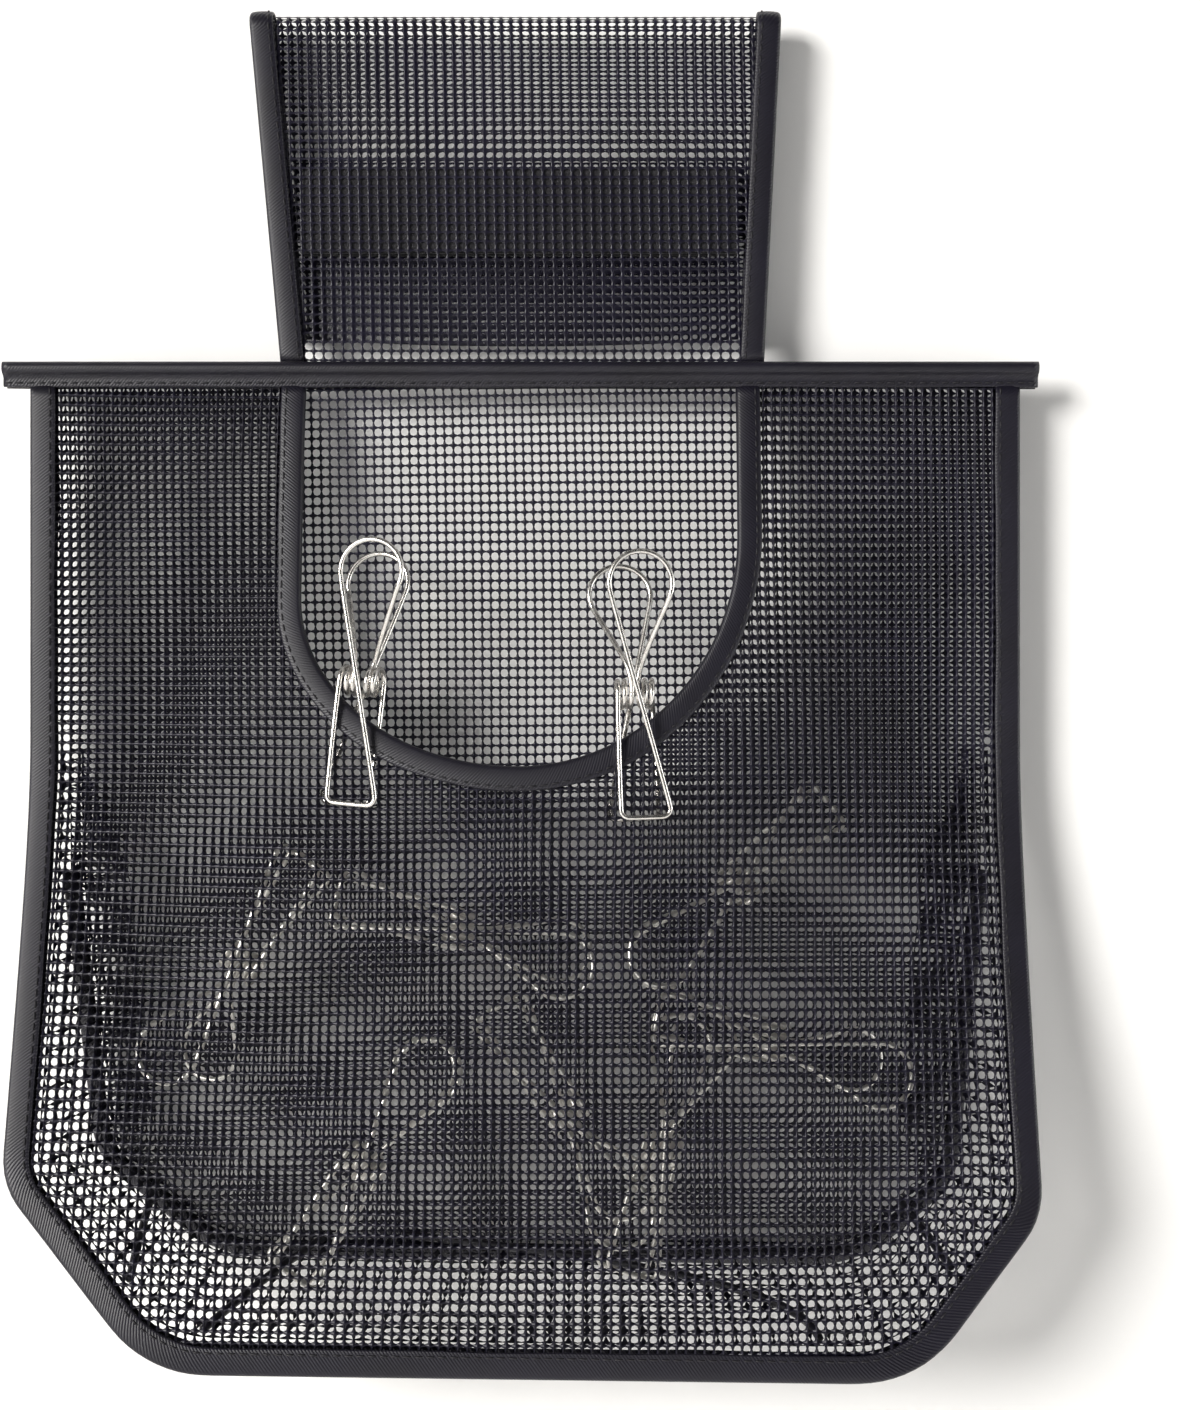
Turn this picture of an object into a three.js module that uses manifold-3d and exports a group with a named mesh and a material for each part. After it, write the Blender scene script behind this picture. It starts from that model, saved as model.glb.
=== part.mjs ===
// Hanging peg bag: open vinyl mesh panels with bound edges, a scooped front, a fold-over flap that
// closes round a washing line, and wire pegs clipped to the lip and lying loose in the pouch.
// Millimetres, +Z up, the front faces -Y. The origin is inside the top of the flap's fold.
import * as THREE from "three";
import { mergeVertices } from "three/addons/utils/BufferGeometryUtils.js";
import Module from "manifold-3d";

const wasm = await Module();
wasm.setup();

// Cloth, tape and fits
const CLOTH = 0.8; // thickness of the coated mesh
const TAPE = 0.8; // thickness of the binding tape
const GAP = 0.3; // clearance between pieces that touch

// Flap
const FLAP_RISE = 106; // inside of the fold above the middle of the band
const FLAP_TOP_WIDTH = 155; // outside its bindings, at the fold
const FLAP_BASE_WIDTH = 140; // outside its bindings, at the band
const FLAP_TOP_SHIFT = -1.7; // the flap's middle to the right of the bag's, at the fold
const FLAP_BASE_SHIFT = 0.5;
const FLAP_BINDING = 8; // width of its side bindings
const LOOP_GAP = 7; // clear space between the flap and its tail
const TAIL_DROP = 95; // the tail's end below the inside of the fold
const FACING_HEIGHT = 54; // the turned-up inner layer at the tail's end
const CLOSURE_INSET = 1; // hook and loop tapes inside the flap's bindings
const CLOSURE_HEIGHT = 25;
const CLOSURE_RISE = 26; // lower edge of the tapes above the tail's end
const FOLD_STEPS = 10;

// Top band
const BAND_WIDTH = 300;
const BAND_HEIGHT = 9.3;
const ROD_DIAMETER = 1.9;
const ROD_INSET = 1.5; // each end of the rod inside the band's end
const PANEL_TUCK = 3; // how far above the band's middle the panels reach inside it

// Body
const BODY_HALF = 143; // half width of the front panel
const BODY_DROP = 275; // hem below the middle of the band
const SPLIT_DROP = 97; // the gusset's start, below the middle of the band
const LEFT_SIDE_OUT = -1.5; // a side's edge outside the body's half width
const RIGHT_SIDE_OUT = 1;
const LEFT_CHAMFER_RISE = 48; // a chamfer's start above the hem
const RIGHT_CHAMFER_RISE = 40;
const LEFT_CHAMFER_RUN = 44.5; // a chamfer's end inside the body's half width
const RIGHT_CHAMFER_RUN = 35;
const LEFT_HEM_LOW = -1; // the hem at a chamfer's end below the body's drop
const RIGHT_HEM_LOW = 1.7;
const LEFT_CHAMFER = {
  half: BODY_HALF + LEFT_SIDE_OUT,
  drop: BODY_DROP - LEFT_CHAMFER_RISE,
  foot: BODY_HALF - LEFT_CHAMFER_RUN,
  hem: BODY_DROP + LEFT_HEM_LOW,
};
const RIGHT_CHAMFER = {
  half: BODY_HALF + RIGHT_SIDE_OUT,
  drop: BODY_DROP - RIGHT_CHAMFER_RISE,
  foot: BODY_HALF - RIGHT_CHAMFER_RUN,
  hem: BODY_DROP + RIGHT_HEM_LOW,
};
const CORNER_RADIUS = 20; // where a side meets its chamfer
const FOOT_RADIUS = 36; // where a chamfer meets the hem
const FRONT_DEPTH = 40; // how far the front stands forward at the hem
const BACK_DEPTH = 11; // how far the back stands behind the band's plane at the hem
const BULGE_POWER = 0.7; // how soon the middle of a panel opens below the band
const BULGE_HALF = 130; // half width of the part of a panel that bulges
const BULGE_FADE = 1.5; // how softly the bulge runs out towards the side edges
const WEDGE_EASE = 0.22; // share of the wedge over which it starts to widen
const EDGE_BINDING = 8.5;
const BACK_BINDING = 4.5;
const BACK_INSET = 17; // the back panel's edge inside the front panel's, below the split
const STEP_DROP = 6; // height of the step where the back panel leaves the shared edge
const GUSSET_START = 46; // the gusset's pointed end below the split
const GUSSET_EASE = 1.2; // the gusset stands this far in from the back binding's mouth
const MESH_PITCH = 24.8; // plain grid of square openings that stands for the fine mesh
const MESH_OPENING = 18;
const MESH_MARGIN = 13.5; // whole cloth left along a bound edge

// Scoop
const SCOOP_HALF = 63.5; // half width of the opening in the front panel's mesh
const SCOOP_LEFT_STRAIGHT = 64; // straight sides below the middle of the band
const SCOOP_RIGHT_STRAIGHT = 46;
const SCOOP_DEPTH = 113; // lowest point below the middle of the band
const SCOOP_BINDING = 8;

// Wire pegs
const WIRE = 1.5;
const COIL_RADIUS = 3.75; // at the middle of the wire
const COIL_TURNS = 2;
const COIL_PITCH = 2;
const COIL_INNER = 1.4; // the coil's inner end from the peg's axis
const JAW_DROP = 35; // jaw bar below the coils
const JAW_LEFT = 5.6;
const JAW_RIGHT = 8.9;
const JAW_BEND = 2.2;
const JAW_CLIPPED = 1.9; // half the space between the bars' middles, on the bound lip
const JAW_CLOSED = 1;
const HANDLE_RISE = 30; // centre of the round handle end above the coils
const HANDLE_SHIFT = 1.7;
const HANDLE_RADIUS = 8.9;
const CROSSING = 5.9; // the long wire passes this far in front of the coils' axis
const ARM_KNEE = { x: 2.4, y: 2.8, z: 8 };
const ARM_FOOT = 2.6; // straight run into the coil
const WIRE_END_GAP = 2; // between the wire's two ends in the middle of the rear bar
const PEG_OPENING = 14; // degrees that a pinched front half turns

// Places of the clipped pegs: across is a share of the scoop's half width, and the jaw bar is that far
// below the scoop. A lean of 0 has the handles straight up.
const CLIPPED_PEGS = {
  left_peg: { across: -0.756, below: 9.6, lean: 6 },
  right_peg: { across: 0.54, below: 13.4, lean: -2.4 },
};
// Places of the loose pegs, as shares of the body's half width and of its drop. A peg that lies on others
// is that many wires behind the panel's own cloth.
const LOOSE_PEGS = [
  { across: -0.549, down: 0.611, lean: 214, over: 0 },
  { across: -0.12, down: 0.575, lean: 105, over: 0 },
  { across: -0.296, down: 0.807, lean: 33, over: 0 },
  { across: 0.282, down: 0.796, lean: 18, over: 3 },
  { across: 0.437, down: 0.531, lean: 228, over: 0 },
  { across: 0.092, down: 0.756, lean: 147, over: 0 },
  { across: 0.5, down: 0.691, lean: 105, over: 0 },
];

// Steps of the faceted shapes
const SIDE_STEPS = [1, 5, 1, 4, 6, 2];
const HEM_STEPS = 10;
const CORNER_STEPS = 3;
const SEAM_ROW = 12; // a panel's first row of points inside a bound edge
const WIRE_SIDES = 6;
const LOOSE_WIRE_SIDES = 5;
const COIL_STEPS = 9;
const HANDLE_STEPS = 8;
const BEND_STEPS = 3;
const ROD_SIDES = 10;
const SLOPE_STEP = 1; // half the distance over which a panel's slope is taken
const GAP_SAMPLE = 0.5; // spacing of the points that measure a wire's gap to itself
const ANGLE_SLACK = 1e-6;
const STRAIGHT_BEND = 1e-5;

// Levels that several pieces share
const BAND_Z = -FLAP_RISE;
const BAND_LOW = BAND_Z - BAND_HEIGHT / 2;
const BAND_TOP = BAND_Z + BAND_HEIGHT / 2;
const PANEL_TOP = BAND_Z + PANEL_TUCK;
const UNDER_BAND = BAND_LOW - GAP;
const SPLIT_Z = BAND_Z - SPLIT_DROP;
const WEDGE_Z = SPLIT_Z - STEP_DROP;
const HEM_Z = BAND_Z - (LEFT_CHAMFER.hem + RIGHT_CHAMFER.hem) / 2;
const LAYER = CLOTH + GAP; // from one cloth's middle to the next
const FOLD_RADIUS = (LOOP_GAP + CLOTH) / 2; // of the cloth's middle
const FOLD_Z = -LOOP_GAP / 2;
const TAIL_Y = 2 * FOLD_RADIUS;
const TAIL_END = -TAIL_DROP;
const EDGE = GAP + TAPE; // from a cloth's edge to the outside of its binding
const WIRE_RADIUS = WIRE / 2;
const LINE_SEAT_Y = FOLD_RADIUS; // the line lies midway between the flap and its tail

const finishes = {
  mesh: new THREE.MeshStandardMaterial({ color: 0x1c1b20, roughness: 0.55 }),
  tape: new THREE.MeshStandardMaterial({ color: 0x17161c, roughness: 0.45 }),
  closure: new THREE.MeshStandardMaterial({ color: 0x101013, roughness: 0.95 }),
  wire: new THREE.MeshStandardMaterial({ color: 0xc9c7c4, roughness: 0.22, metalness: 1 }),
  rod: new THREE.MeshStandardMaterial({ color: 0x8d8f92, roughness: 0.4, metalness: 1 }),
};

// Geometry helpers

function signedVolume(points, faces) {
  const cross = new THREE.Vector3();
  return faces.reduce(
    (sum, [a, b, c]) => sum + cross.crossVectors(points[b], points[c]).dot(points[a]) / 6,
    0,
  );
}

// A closed body from shared points and triangles, turned so that its faces point outwards.
function body(points, faces) {
  const outward = signedVolume(points, faces) > 0 ? faces : faces.map(([a, b, c]) => [a, c, b]);
  const geometry = new THREE.BufferGeometry().setFromPoints(points);
  geometry.setIndex(outward.flat());
  geometry.computeVertexNormals();
  return geometry;
}

function quad(a, b, c, d) {
  return [
    [a, b, c],
    [a, c, d],
  ];
}

// Flat triangles that fill an outline, each turned the way the outline runs.
function fill(outline) {
  const sense = Math.sign(THREE.ShapeUtils.area(outline));
  return THREE.ShapeUtils.triangulateShape(outline, []).map(([a, b, c]) => {
    const area = THREE.ShapeUtils.area([outline[a], outline[b], outline[c]]);
    return Math.sign(area) === sense ? [a, b, c] : [a, c, b];
  });
}

// Joins equal loops of points into a solid with flat ends. outline is the loop as a flat shape.
function loft(loops, outline) {
  const count = outline.length;
  const faces = [];
  for (let i = 0; i + 1 < loops.length; i++)
    for (let j = 0; j < count; j++) {
      const next = (j + 1) % count;
      faces.push(
        ...quad(i * count + j, i * count + next, (i + 1) * count + next, (i + 1) * count + j),
      );
    }
  const last = (loops.length - 1) * count;
  for (const [a, b, c] of fill(outline)) {
    faces.push([a, c, b]);
    faces.push([last + a, last + b, last + c]);
  }
  return body(loops.flat(), faces);
}

// A cloth from middle points, each with the step to one face, and triangles that all turn one way.
function cloth(middles, triangles) {
  const size = middles.length;
  const points = [
    ...middles.map(({ at, step }) => at.clone().add(step)),
    ...middles.map(({ at, step }) => at.clone().sub(step)),
  ];
  const edges = triangles.flatMap(([a, b, c]) => [
    [a, b],
    [b, c],
    [c, a],
  ]);
  const known = new Set(edges.map(([a, b]) => a * size + b));
  const rim = edges.filter(([a, b]) => !known.has(b * size + a));
  return body(points, [
    ...triangles,
    ...triangles.map(([a, b, c]) => [size + a, size + c, size + b]),
    ...rim.flatMap(([a, b]) => quad(b, a, size + a, size + b)),
  ]);
}

function sheet(rows) {
  const across = rows[0].length;
  const triangles = [];
  for (let i = 0; i + 1 < rows.length; i++)
    for (let j = 0; j + 1 < across; j++) {
      const a = i * across + j;
      triangles.push(...quad(a, a + 1, a + across + 1, a + across));
    }
  return cloth(rows.flat(), triangles);
}

// Turns the diagonals of flat triangles until no two neighbours are needlessly long and thin.
function compact(points, triangles) {
  const faces = triangles.map((face) => [...face]);
  const cornerAngle = (at, from, to) =>
    points[from].clone().sub(points[at]).angleTo(points[to].clone().sub(points[at]));
  let turned = true;
  while (turned) {
    turned = false;
    const sides = new Map();
    const changed = new Set();
    faces.forEach((face, f) => {
      face.forEach((a, k) => {
        const b = face[(k + 1) % 3];
        const apex = face[(k + 2) % 3];
        const key = Math.min(a, b) * points.length + Math.max(a, b);
        const other = sides.get(key);
        if (!other) {
          sides.set(key, { f, apex });
          return;
        }
        if (changed.has(f) || changed.has(other.f)) return;
        const spread = cornerAngle(apex, a, b) + cornerAngle(other.apex, a, b);
        if (spread < Math.PI + ANGLE_SLACK) return;
        faces[f] = [apex, a, other.apex];
        faces[other.f] = [other.apex, b, apex];
        changed.add(f).add(other.f);
        turned = true;
      });
    });
  }
  return faces;
}

// A round wire along points, with its frame carried along without twist.
function tube(points, radius, sides) {
  const ahead = points.map((p, i) =>
    (points[i + 1] ?? p).clone().sub(points[i - 1] ?? p).normalize(),
  );
  const start = Math.abs(ahead[0].z) < 0.9 ? new THREE.Vector3(0, 0, 1) : new THREE.Vector3(1, 0, 0);
  const side = start.clone().cross(ahead[0]).normalize();
  const turn = new THREE.Quaternion();
  const outline = Array.from({ length: sides }, (_, j) => {
    const angle = (2 * Math.PI * j) / sides;
    return new THREE.Vector2(Math.cos(angle), Math.sin(angle)).multiplyScalar(radius);
  });
  const loops = points.map((p, i) => {
    if (i) side.applyQuaternion(turn.setFromUnitVectors(ahead[i - 1], ahead[i]));
    const up = ahead[i].clone().cross(side);
    return outline.map(({ x, y }) => p.clone().addScaledVector(side, x).addScaledVector(up, y));
  });
  return loft(loops, outline);
}

function solidOf(geometry) {
  const bare = new THREE.BufferGeometry().setAttribute("position", geometry.getAttribute("position"));
  bare.setIndex(geometry.index);
  const merged = mergeVertices(bare, 1e-4);
  return new wasm.Manifold(
    new wasm.Mesh({
      numProp: 3,
      vertProperties: merged.attributes.position.array,
      triVerts: new Uint32Array(merged.index.array),
    }),
  );
}

function cut(geometry, ...tools) {
  const left = tools.reduce((whole, tool) => whole.subtract(solidOf(tool)), solidOf(geometry));
  const { vertProperties, triVerts } = left.getMesh();
  return new THREE.BufferGeometry()
    .setAttribute("position", new THREE.BufferAttribute(vertProperties, 3))
    .setIndex(new THREE.BufferAttribute(triVerts, 1));
}

function boxBetween(low, high) {
  const size = new THREE.Vector3().subVectors(high, low);
  const middle = new THREE.Vector3().addVectors(low, high).multiplyScalar(0.5);
  return new THREE.BoxGeometry(size.x, size.y, size.z).translate(middle.x, middle.y, middle.z);
}

// Surfaces of the two panels: y of the cloth's middle at a place in the front view

function level(z) {
  return THREE.MathUtils.clamp((BAND_LOW - z) / (BAND_LOW - HEM_Z), 0, 1);
}

// From 0 at the band to 1 at the hem. The side edges stay shut down to the wedge's start.
function opening(x, z) {
  const middle = level(z) ** BULGE_POWER;
  const down = THREE.MathUtils.clamp((WEDGE_Z - z) / (WEDGE_Z - HEM_Z), 0, 1);
  const eased = (part) => Math.hypot(part, WEDGE_EASE) - WEDGE_EASE;
  const edge = eased(down) / eased(1);
  const out = Math.min(1, Math.abs(x) / BULGE_HALF);
  return edge + (middle - edge) * (1 - out ** 2) ** BULGE_FADE;
}

const frontY = (x, z) => -FRONT_DEPTH * opening(x, z);
const backY = (x, z) => LAYER + BACK_DEPTH * opening(x, z);

function onSurface(surface, p, lift = 0) {
  return new THREE.Vector3(p.x, surface(p.x, p.y) + lift, p.y);
}

// Outlines in the front view, as Vector2 of x and z, down the left, along the hem and up the right

function corners(inset, step) {
  const side = (sign, chamfer) => [
    new THREE.Vector2(sign * chamfer.half, PANEL_TOP),
    new THREE.Vector2(sign * chamfer.half, UNDER_BAND),
    new THREE.Vector2(sign * chamfer.half, SPLIT_Z),
    new THREE.Vector2(sign * (chamfer.half - step), WEDGE_Z),
    new THREE.Vector2(sign * (chamfer.half - step), SPLIT_Z - GUSSET_START),
    new THREE.Vector2(sign * (chamfer.half - inset), BAND_Z - chamfer.drop),
    new THREE.Vector2(sign * (chamfer.foot - inset / 2), BAND_Z - chamfer.hem + inset),
  ];
  return [side(-1, LEFT_CHAMFER), side(1, RIGHT_CHAMFER)];
}

function alongLine(from, to, steps) {
  return Array.from({ length: steps }, (_, i) => from.clone().lerp(to, (i + 1) / steps));
}

function roundCorner(before, corner, after, radius, steps) {
  const back = before.clone().sub(corner).normalize();
  const on = after.clone().sub(corner).normalize();
  const half = back.angleTo(on) / 2;
  const reach = radius / Math.tan(half);
  const from = corner.clone().addScaledVector(back, reach);
  const to = corner.clone().addScaledVector(on, reach);
  const centre = corner
    .clone()
    .addScaledVector(back.clone().add(on).normalize(), radius / Math.sin(half));
  const sweep = Math.PI - 2 * half;
  const first = from.clone().sub(centre);
  const last = to.clone().sub(centre);
  return Array.from({ length: steps + 1 }, (_, i) => {
    const part = i / steps;
    const a = Math.sin((1 - part) * sweep) / Math.sin(sweep);
    const b = Math.sin(part * sweep) / Math.sin(sweep);
    return centre.clone().addScaledVector(first, a).addScaledVector(last, b);
  });
}

// One side from the top to the rounded foot of its chamfer, with the same stations on every outline.
function sideStations(side, across) {
  const [, , , , start, chamfer, foot] = side;
  const stations = [side[0]];
  for (let i = 0; i < 4; i++) stations.push(...alongLine(side[i], side[i + 1], SIDE_STEPS[i]));
  const upper = roundCorner(start, chamfer, foot, CORNER_RADIUS, CORNER_STEPS);
  const lower = roundCorner(chamfer, foot, across, FOOT_RADIUS, CORNER_STEPS);
  stations.push(...alongLine(start, upper[0], SIDE_STEPS[4]), ...upper.slice(1));
  stations.push(...alongLine(upper.at(-1), lower[0], SIDE_STEPS[5]), ...lower.slice(1));
  return stations;
}

function outlineStations(inset, step) {
  const [left, right] = corners(inset, step);
  const leftSide = sideStations(left, right.at(-1));
  const rightSide = sideStations(right, left.at(-1));
  const hem = alongLine(leftSide.at(-1), rightSide.at(-1), HEM_STEPS);
  return [...leftSide, ...hem, ...rightSide.reverse().slice(1)];
}

// Normals on the left of the way along: into the pouch on an outline that runs as above.
function inwardNormals(stations) {
  return stations.map((p, i) => {
    const along = (stations[i + 1] ?? p).clone().sub(stations[i - 1] ?? p).normalize();
    return new THREE.Vector2(-along.y, along.x);
  });
}

const STEP_WIDTH = EDGE_BINDING + GAP;
const BAND_STATION = SIDE_STEPS[0];
const GUSSET_STATION = SIDE_STEPS.slice(0, 4).reduce((sum, n) => sum + n, 0);
const CHAMFER_STATION = GUSSET_STATION + SIDE_STEPS[4];
const frontOutline = outlineStations(0, 0);
const backOutline = outlineStations(BACK_INSET, STEP_WIDTH);
const frontNormals = inwardNormals(frontOutline);
const backNormals = inwardNormals(backOutline);
const STATIONS = frontOutline.length;

// A place by a binding: in from the cloth's edge by a, and behind the cloth's middle by b.
function beside(surface, p, normal, a, b) {
  return onSurface(surface, p.clone().addScaledVector(normal, a), b);
}

// Section of a folded tape: width over all, with the cloths from front to rear of the edge's middle.
function tapeSection(width, front, rear) {
  const mouth = width - EDGE;
  return [
    [-EDGE, -front - EDGE],
    [mouth, -front - EDGE],
    [mouth, -front - GAP],
    [-GAP, -front - GAP],
    [-GAP, rear + GAP],
    [mouth, rear + GAP],
    [mouth, rear + EDGE],
    [-EDGE, rear + EDGE],
  ].map(([a, b]) => new THREE.Vector2(a, b));
}

function binding(surface, stations, normals, section) {
  const loops = stations.map((p, i) =>
    section.map(({ x, y }) => beside(surface, p, normals[i], x, y)),
  );
  return loft(loops, section);
}

const HALF_CLOTH = new THREE.Vector3(0, CLOTH / 2, 0);

// Body pieces

function scoopStations() {
  const quarter = (path, straight, from) => {
    const centre = BAND_Z - straight;
    const fall = SCOOP_DEPTH - straight;
    path.absellipse(0, centre, SCOOP_HALF, fall, from, from + Math.PI / 2, false);
  };
  const path = new THREE.Path();
  path.moveTo(-SCOOP_HALF, UNDER_BAND);
  path.lineTo(-SCOOP_HALF, BAND_Z - SCOOP_LEFT_STRAIGHT);
  quarter(path, SCOOP_LEFT_STRAIGHT, Math.PI);
  quarter(path, SCOOP_RIGHT_STRAIGHT, 1.5 * Math.PI);
  path.lineTo(SCOOP_HALF, UNDER_BAND);
  const round = path.getSpacedPoints(STATIONS - 1 - 2 * BAND_STATION);
  const ends = [-SCOOP_HALF, SCOOP_HALF].map((x) => new THREE.Vector2(x, PANEL_TOP));
  return [ends[0], ...round, ends[1]];
}

const scoopOutline = scoopStations();
const scoopNormals = inwardNormals(scoopOutline).map((n) => n.negate());

function encloses(outline, x, z) {
  let within = false;
  outline.forEach((a, i) => {
    const b = outline[(i + 1) % outline.length];
    const spans = a.y > z !== b.y > z;
    if (spans && x < a.x + ((b.x - a.x) * (z - a.y)) / (b.y - a.y)) within = !within;
  });
  return within;
}

const movedIn = (stations, normals) =>
  stations.map((p, i) => p.clone().addScaledVector(normals[i], MESH_MARGIN));

// Corners of the openings, in rows from the band down, where all four are on clear cloth.
function meshOpenings(isClear) {
  const half = MESH_OPENING / 2;
  const columns = Math.ceil(BODY_HALF / MESH_PITCH);
  const openings = [];
  for (let z = UNDER_BAND - MESH_MARGIN - half; z > HEM_Z; z -= MESH_PITCH)
    for (let k = -columns; k < columns; k++) {
      const x = (k + 0.5) * MESH_PITCH;
      const square = [
        new THREE.Vector2(x - half, z - half),
        new THREE.Vector2(x - half, z + half),
        new THREE.Vector2(x + half, z + half),
        new THREE.Vector2(x + half, z - half),
      ];
      if (square.every(isClear)) openings.push(square);
    }
  return openings;
}

// A panel from places in the front view: triangles along its edges, and inside a loop a grid of openings.
function panel(surface, places, edging, loop, openings) {
  const all = [...places, ...openings.flat()];
  const used = [...loop, ...openings.flat().map((_, k) => places.length + k)];
  // A slight bend keeps the points along straight edges in the triangles.
  const bent = (p) => new THREE.Vector2(p.x + STRAIGHT_BEND * p.y ** 2, p.y + STRAIGHT_BEND * p.x ** 2);
  const outline = loop.map((i) => bent(places[i]));
  const inside = THREE.ShapeUtils.triangulateShape(outline, openings.map((square) => square.map(bent)));
  const faces = [...edging, ...compact(all, inside.map((face) => face.map((k) => used[k])))];
  const upright = faces.map(([a, b, c]) =>
    THREE.ShapeUtils.area([all[a], all[b], all[c]]) > 0 ? [a, b, c] : [a, c, b],
  );
  const middles = all.map((p) => ({ at: onSurface(surface, p), step: HALF_CLOTH }));
  return cloth(middles, upright);
}

// The front panel runs round the scoop, from its bound lip out to the bound edge.
function frontPanel() {
  const rows = frontOutline.map((outer, i) => {
    const inner = scoopOutline[i];
    const near = SEAM_ROW / inner.distanceTo(outer);
    return [0, near, 1 - near, 1].map((part) => inner.clone().lerp(outer, part));
  });
  const across = rows[0].length;
  const at = (i, j) => i * across + j;
  const edging = [];
  for (let i = 0; i + 1 < STATIONS; i++)
    for (let j = 0; j + 1 < across; j++) {
      const inBand = i < BAND_STATION || i + 1 >= STATIONS - BAND_STATION;
      const isSeam = j === 0 || j + 2 === across;
      if (isSeam || inBand) edging.push(...quad(at(i, j), at(i, j + 1), at(i + 1, j + 1), at(i + 1, j)));
    }
  const run = frontOutline.map((_, i) => i).slice(BAND_STATION, STATIONS - BAND_STATION);
  const loop = [...run.map((i) => at(i, 2)), ...run.toReversed().map((i) => at(i, 1))];
  const edge = movedIn(frontOutline, frontNormals);
  const lip = movedIn(scoopOutline, scoopNormals);
  const openings = meshOpenings((p) => encloses(edge, p.x, p.y) && !encloses(lip, p.x, p.y));
  return panel(frontY, rows.flat(), edging, loop, openings);
}

// The back panel has a strip inside the band and the openings below it.
function backPanel() {
  const strip = [0, BAND_STATION].map((i) => {
    const left = backOutline[i];
    const right = backOutline[STATIONS - 1 - i];
    return Array.from({ length: HEM_STEPS + 1 }, (_, j) => left.clone().lerp(right, j / HEM_STEPS));
  });
  const across = HEM_STEPS + 1;
  const edging = [];
  for (let j = 0; j < HEM_STEPS; j++) edging.push(...quad(j, j + 1, across + j + 1, across + j));
  const below = backOutline.slice(BAND_STATION + 1, STATIONS - 1 - BAND_STATION);
  const loop = [
    across,
    ...below.map((_, k) => 2 * across + k),
    ...strip[1].map((_, j) => across + j).toReversed().slice(0, -1),
  ];
  const edge = movedIn(backOutline, backNormals);
  const openings = meshOpenings((p) => encloses(edge, p.x, p.y));
  return panel(backY, [...strip.flat(), ...below], edging, loop, openings);
}

// A gusset strip between two stations, with a flange in the front binding and one in the back.
function gusset(first, last) {
  const reach = EDGE_BINDING - TAPE + CLOTH; // past the mouth of the front binding
  const backReach = BACK_BINDING - TAPE + CLOTH + GUSSET_EASE;
  const half = CLOTH / 2;
  const loops = [];
  for (let i = first; i <= last; i++) {
    const front = (a, b) => beside(frontY, frontOutline[i], frontNormals[i], a, LAYER + b);
    const back = (a, b) => beside(backY, backOutline[i], backNormals[i], a, -LAYER + b);
    loops.push([
      front(0, -half),
      front(reach, -half),
      back(backReach, half),
      back(0, half),
      back(0, -half),
      back(backReach - CLOTH, -half),
      front(reach - CLOTH, half),
      front(0, half),
    ]);
  }
  // Neighbouring strips stop short of each other.
  const trim = (loop, towards) =>
    loop.map((p, k) => p.clone().lerp(towards[k], GAP / 2 / p.distanceTo(towards[k])));
  loops[0] = trim(loops[0], loops[1]);
  loops[loops.length - 1] = trim(loops.at(-1), loops.at(-2));
  const flat = [
    [0, 0],
    [reach, 0],
    [reach, 4 * CLOTH],
    [0, 4 * CLOTH],
    [0, 3 * CLOTH],
    [reach - CLOTH, 3 * CLOTH],
    [reach - CLOTH, CLOTH],
    [0, CLOTH],
  ].map(([a, b]) => new THREE.Vector2(a, b));
  return loft(loops, flat);
}

function frontEdgeBinding() {
  const section = tapeSection(EDGE_BINDING, CLOTH / 2, LAYER + CLOTH / 2);
  const run = [BAND_STATION, STATIONS - BAND_STATION];
  return binding(frontY, frontOutline.slice(...run), frontNormals.slice(...run), section);
}

function backEdgeBinding() {
  const section = tapeSection(BACK_BINDING, LAYER + CLOTH / 2, CLOTH / 2);
  const run = [GUSSET_STATION, STATIONS - GUSSET_STATION];
  return binding(backY, backOutline.slice(...run), backNormals.slice(...run), section);
}

function scoopBinding() {
  const section = tapeSection(SCOOP_BINDING, CLOTH / 2, CLOTH / 2);
  const first = BAND_STATION + 1; // the panels have parted one station below the band
  const run = [first, STATIONS - first];
  return binding(frontY, scoopOutline.slice(...run), scoopNormals.slice(...run), section);
}

// The band is a tape rolled over the rod, with both lips sewn down on the panels. Behind the rod it
// is open over the flap's width, where the flap comes up through it.
function bandSection() {
  const clothFront = -CLOTH / 2 - GAP;
  const clothBack = LAYER + CLOTH / 2 + GAP;
  const pocket = clothFront - ROD_DIAMETER - GAP;
  const low = -BAND_HEIGHT / 2;
  const high = BAND_HEIGHT / 2;
  const roll = high - ROD_DIAMETER - 2 * TAPE;
  return [
    [clothFront - TAPE, low],
    [clothFront - TAPE, low + 2 * TAPE],
    [pocket - TAPE, roll - TAPE],
    [pocket - TAPE, high - 1.5 * TAPE],
    [pocket + TAPE, high],
    [clothBack, high],
    [clothBack + TAPE, high - TAPE],
    [clothBack + TAPE, low],
    [clothBack, low],
    [clothBack, high - TAPE],
    [pocket + TAPE, high - TAPE],
    [pocket, high - 2 * TAPE],
    [pocket, roll],
    [clothFront, low + 3 * TAPE],
    [clothFront, low],
  ].map(([y, z]) => new THREE.Vector2(y, z + BAND_Z));
}

function topBand() {
  const section = bandSection();
  const loops = [-1, 1].map((sign) =>
    section.map(({ x, y }) => new THREE.Vector3((sign * BAND_WIDTH) / 2, x, y)),
  );
  const passage = boxBetween(
    new THREE.Vector3(-FLAP_BASE_WIDTH / 2 - GAP, -CLOTH / 2 - GAP, BAND_LOW - TAPE),
    new THREE.Vector3(FLAP_BASE_WIDTH / 2 + GAP, FLAP_BINDING, BAND_TOP + TAPE),
  );
  return cut(loft(loops, section), passage);
}

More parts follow.
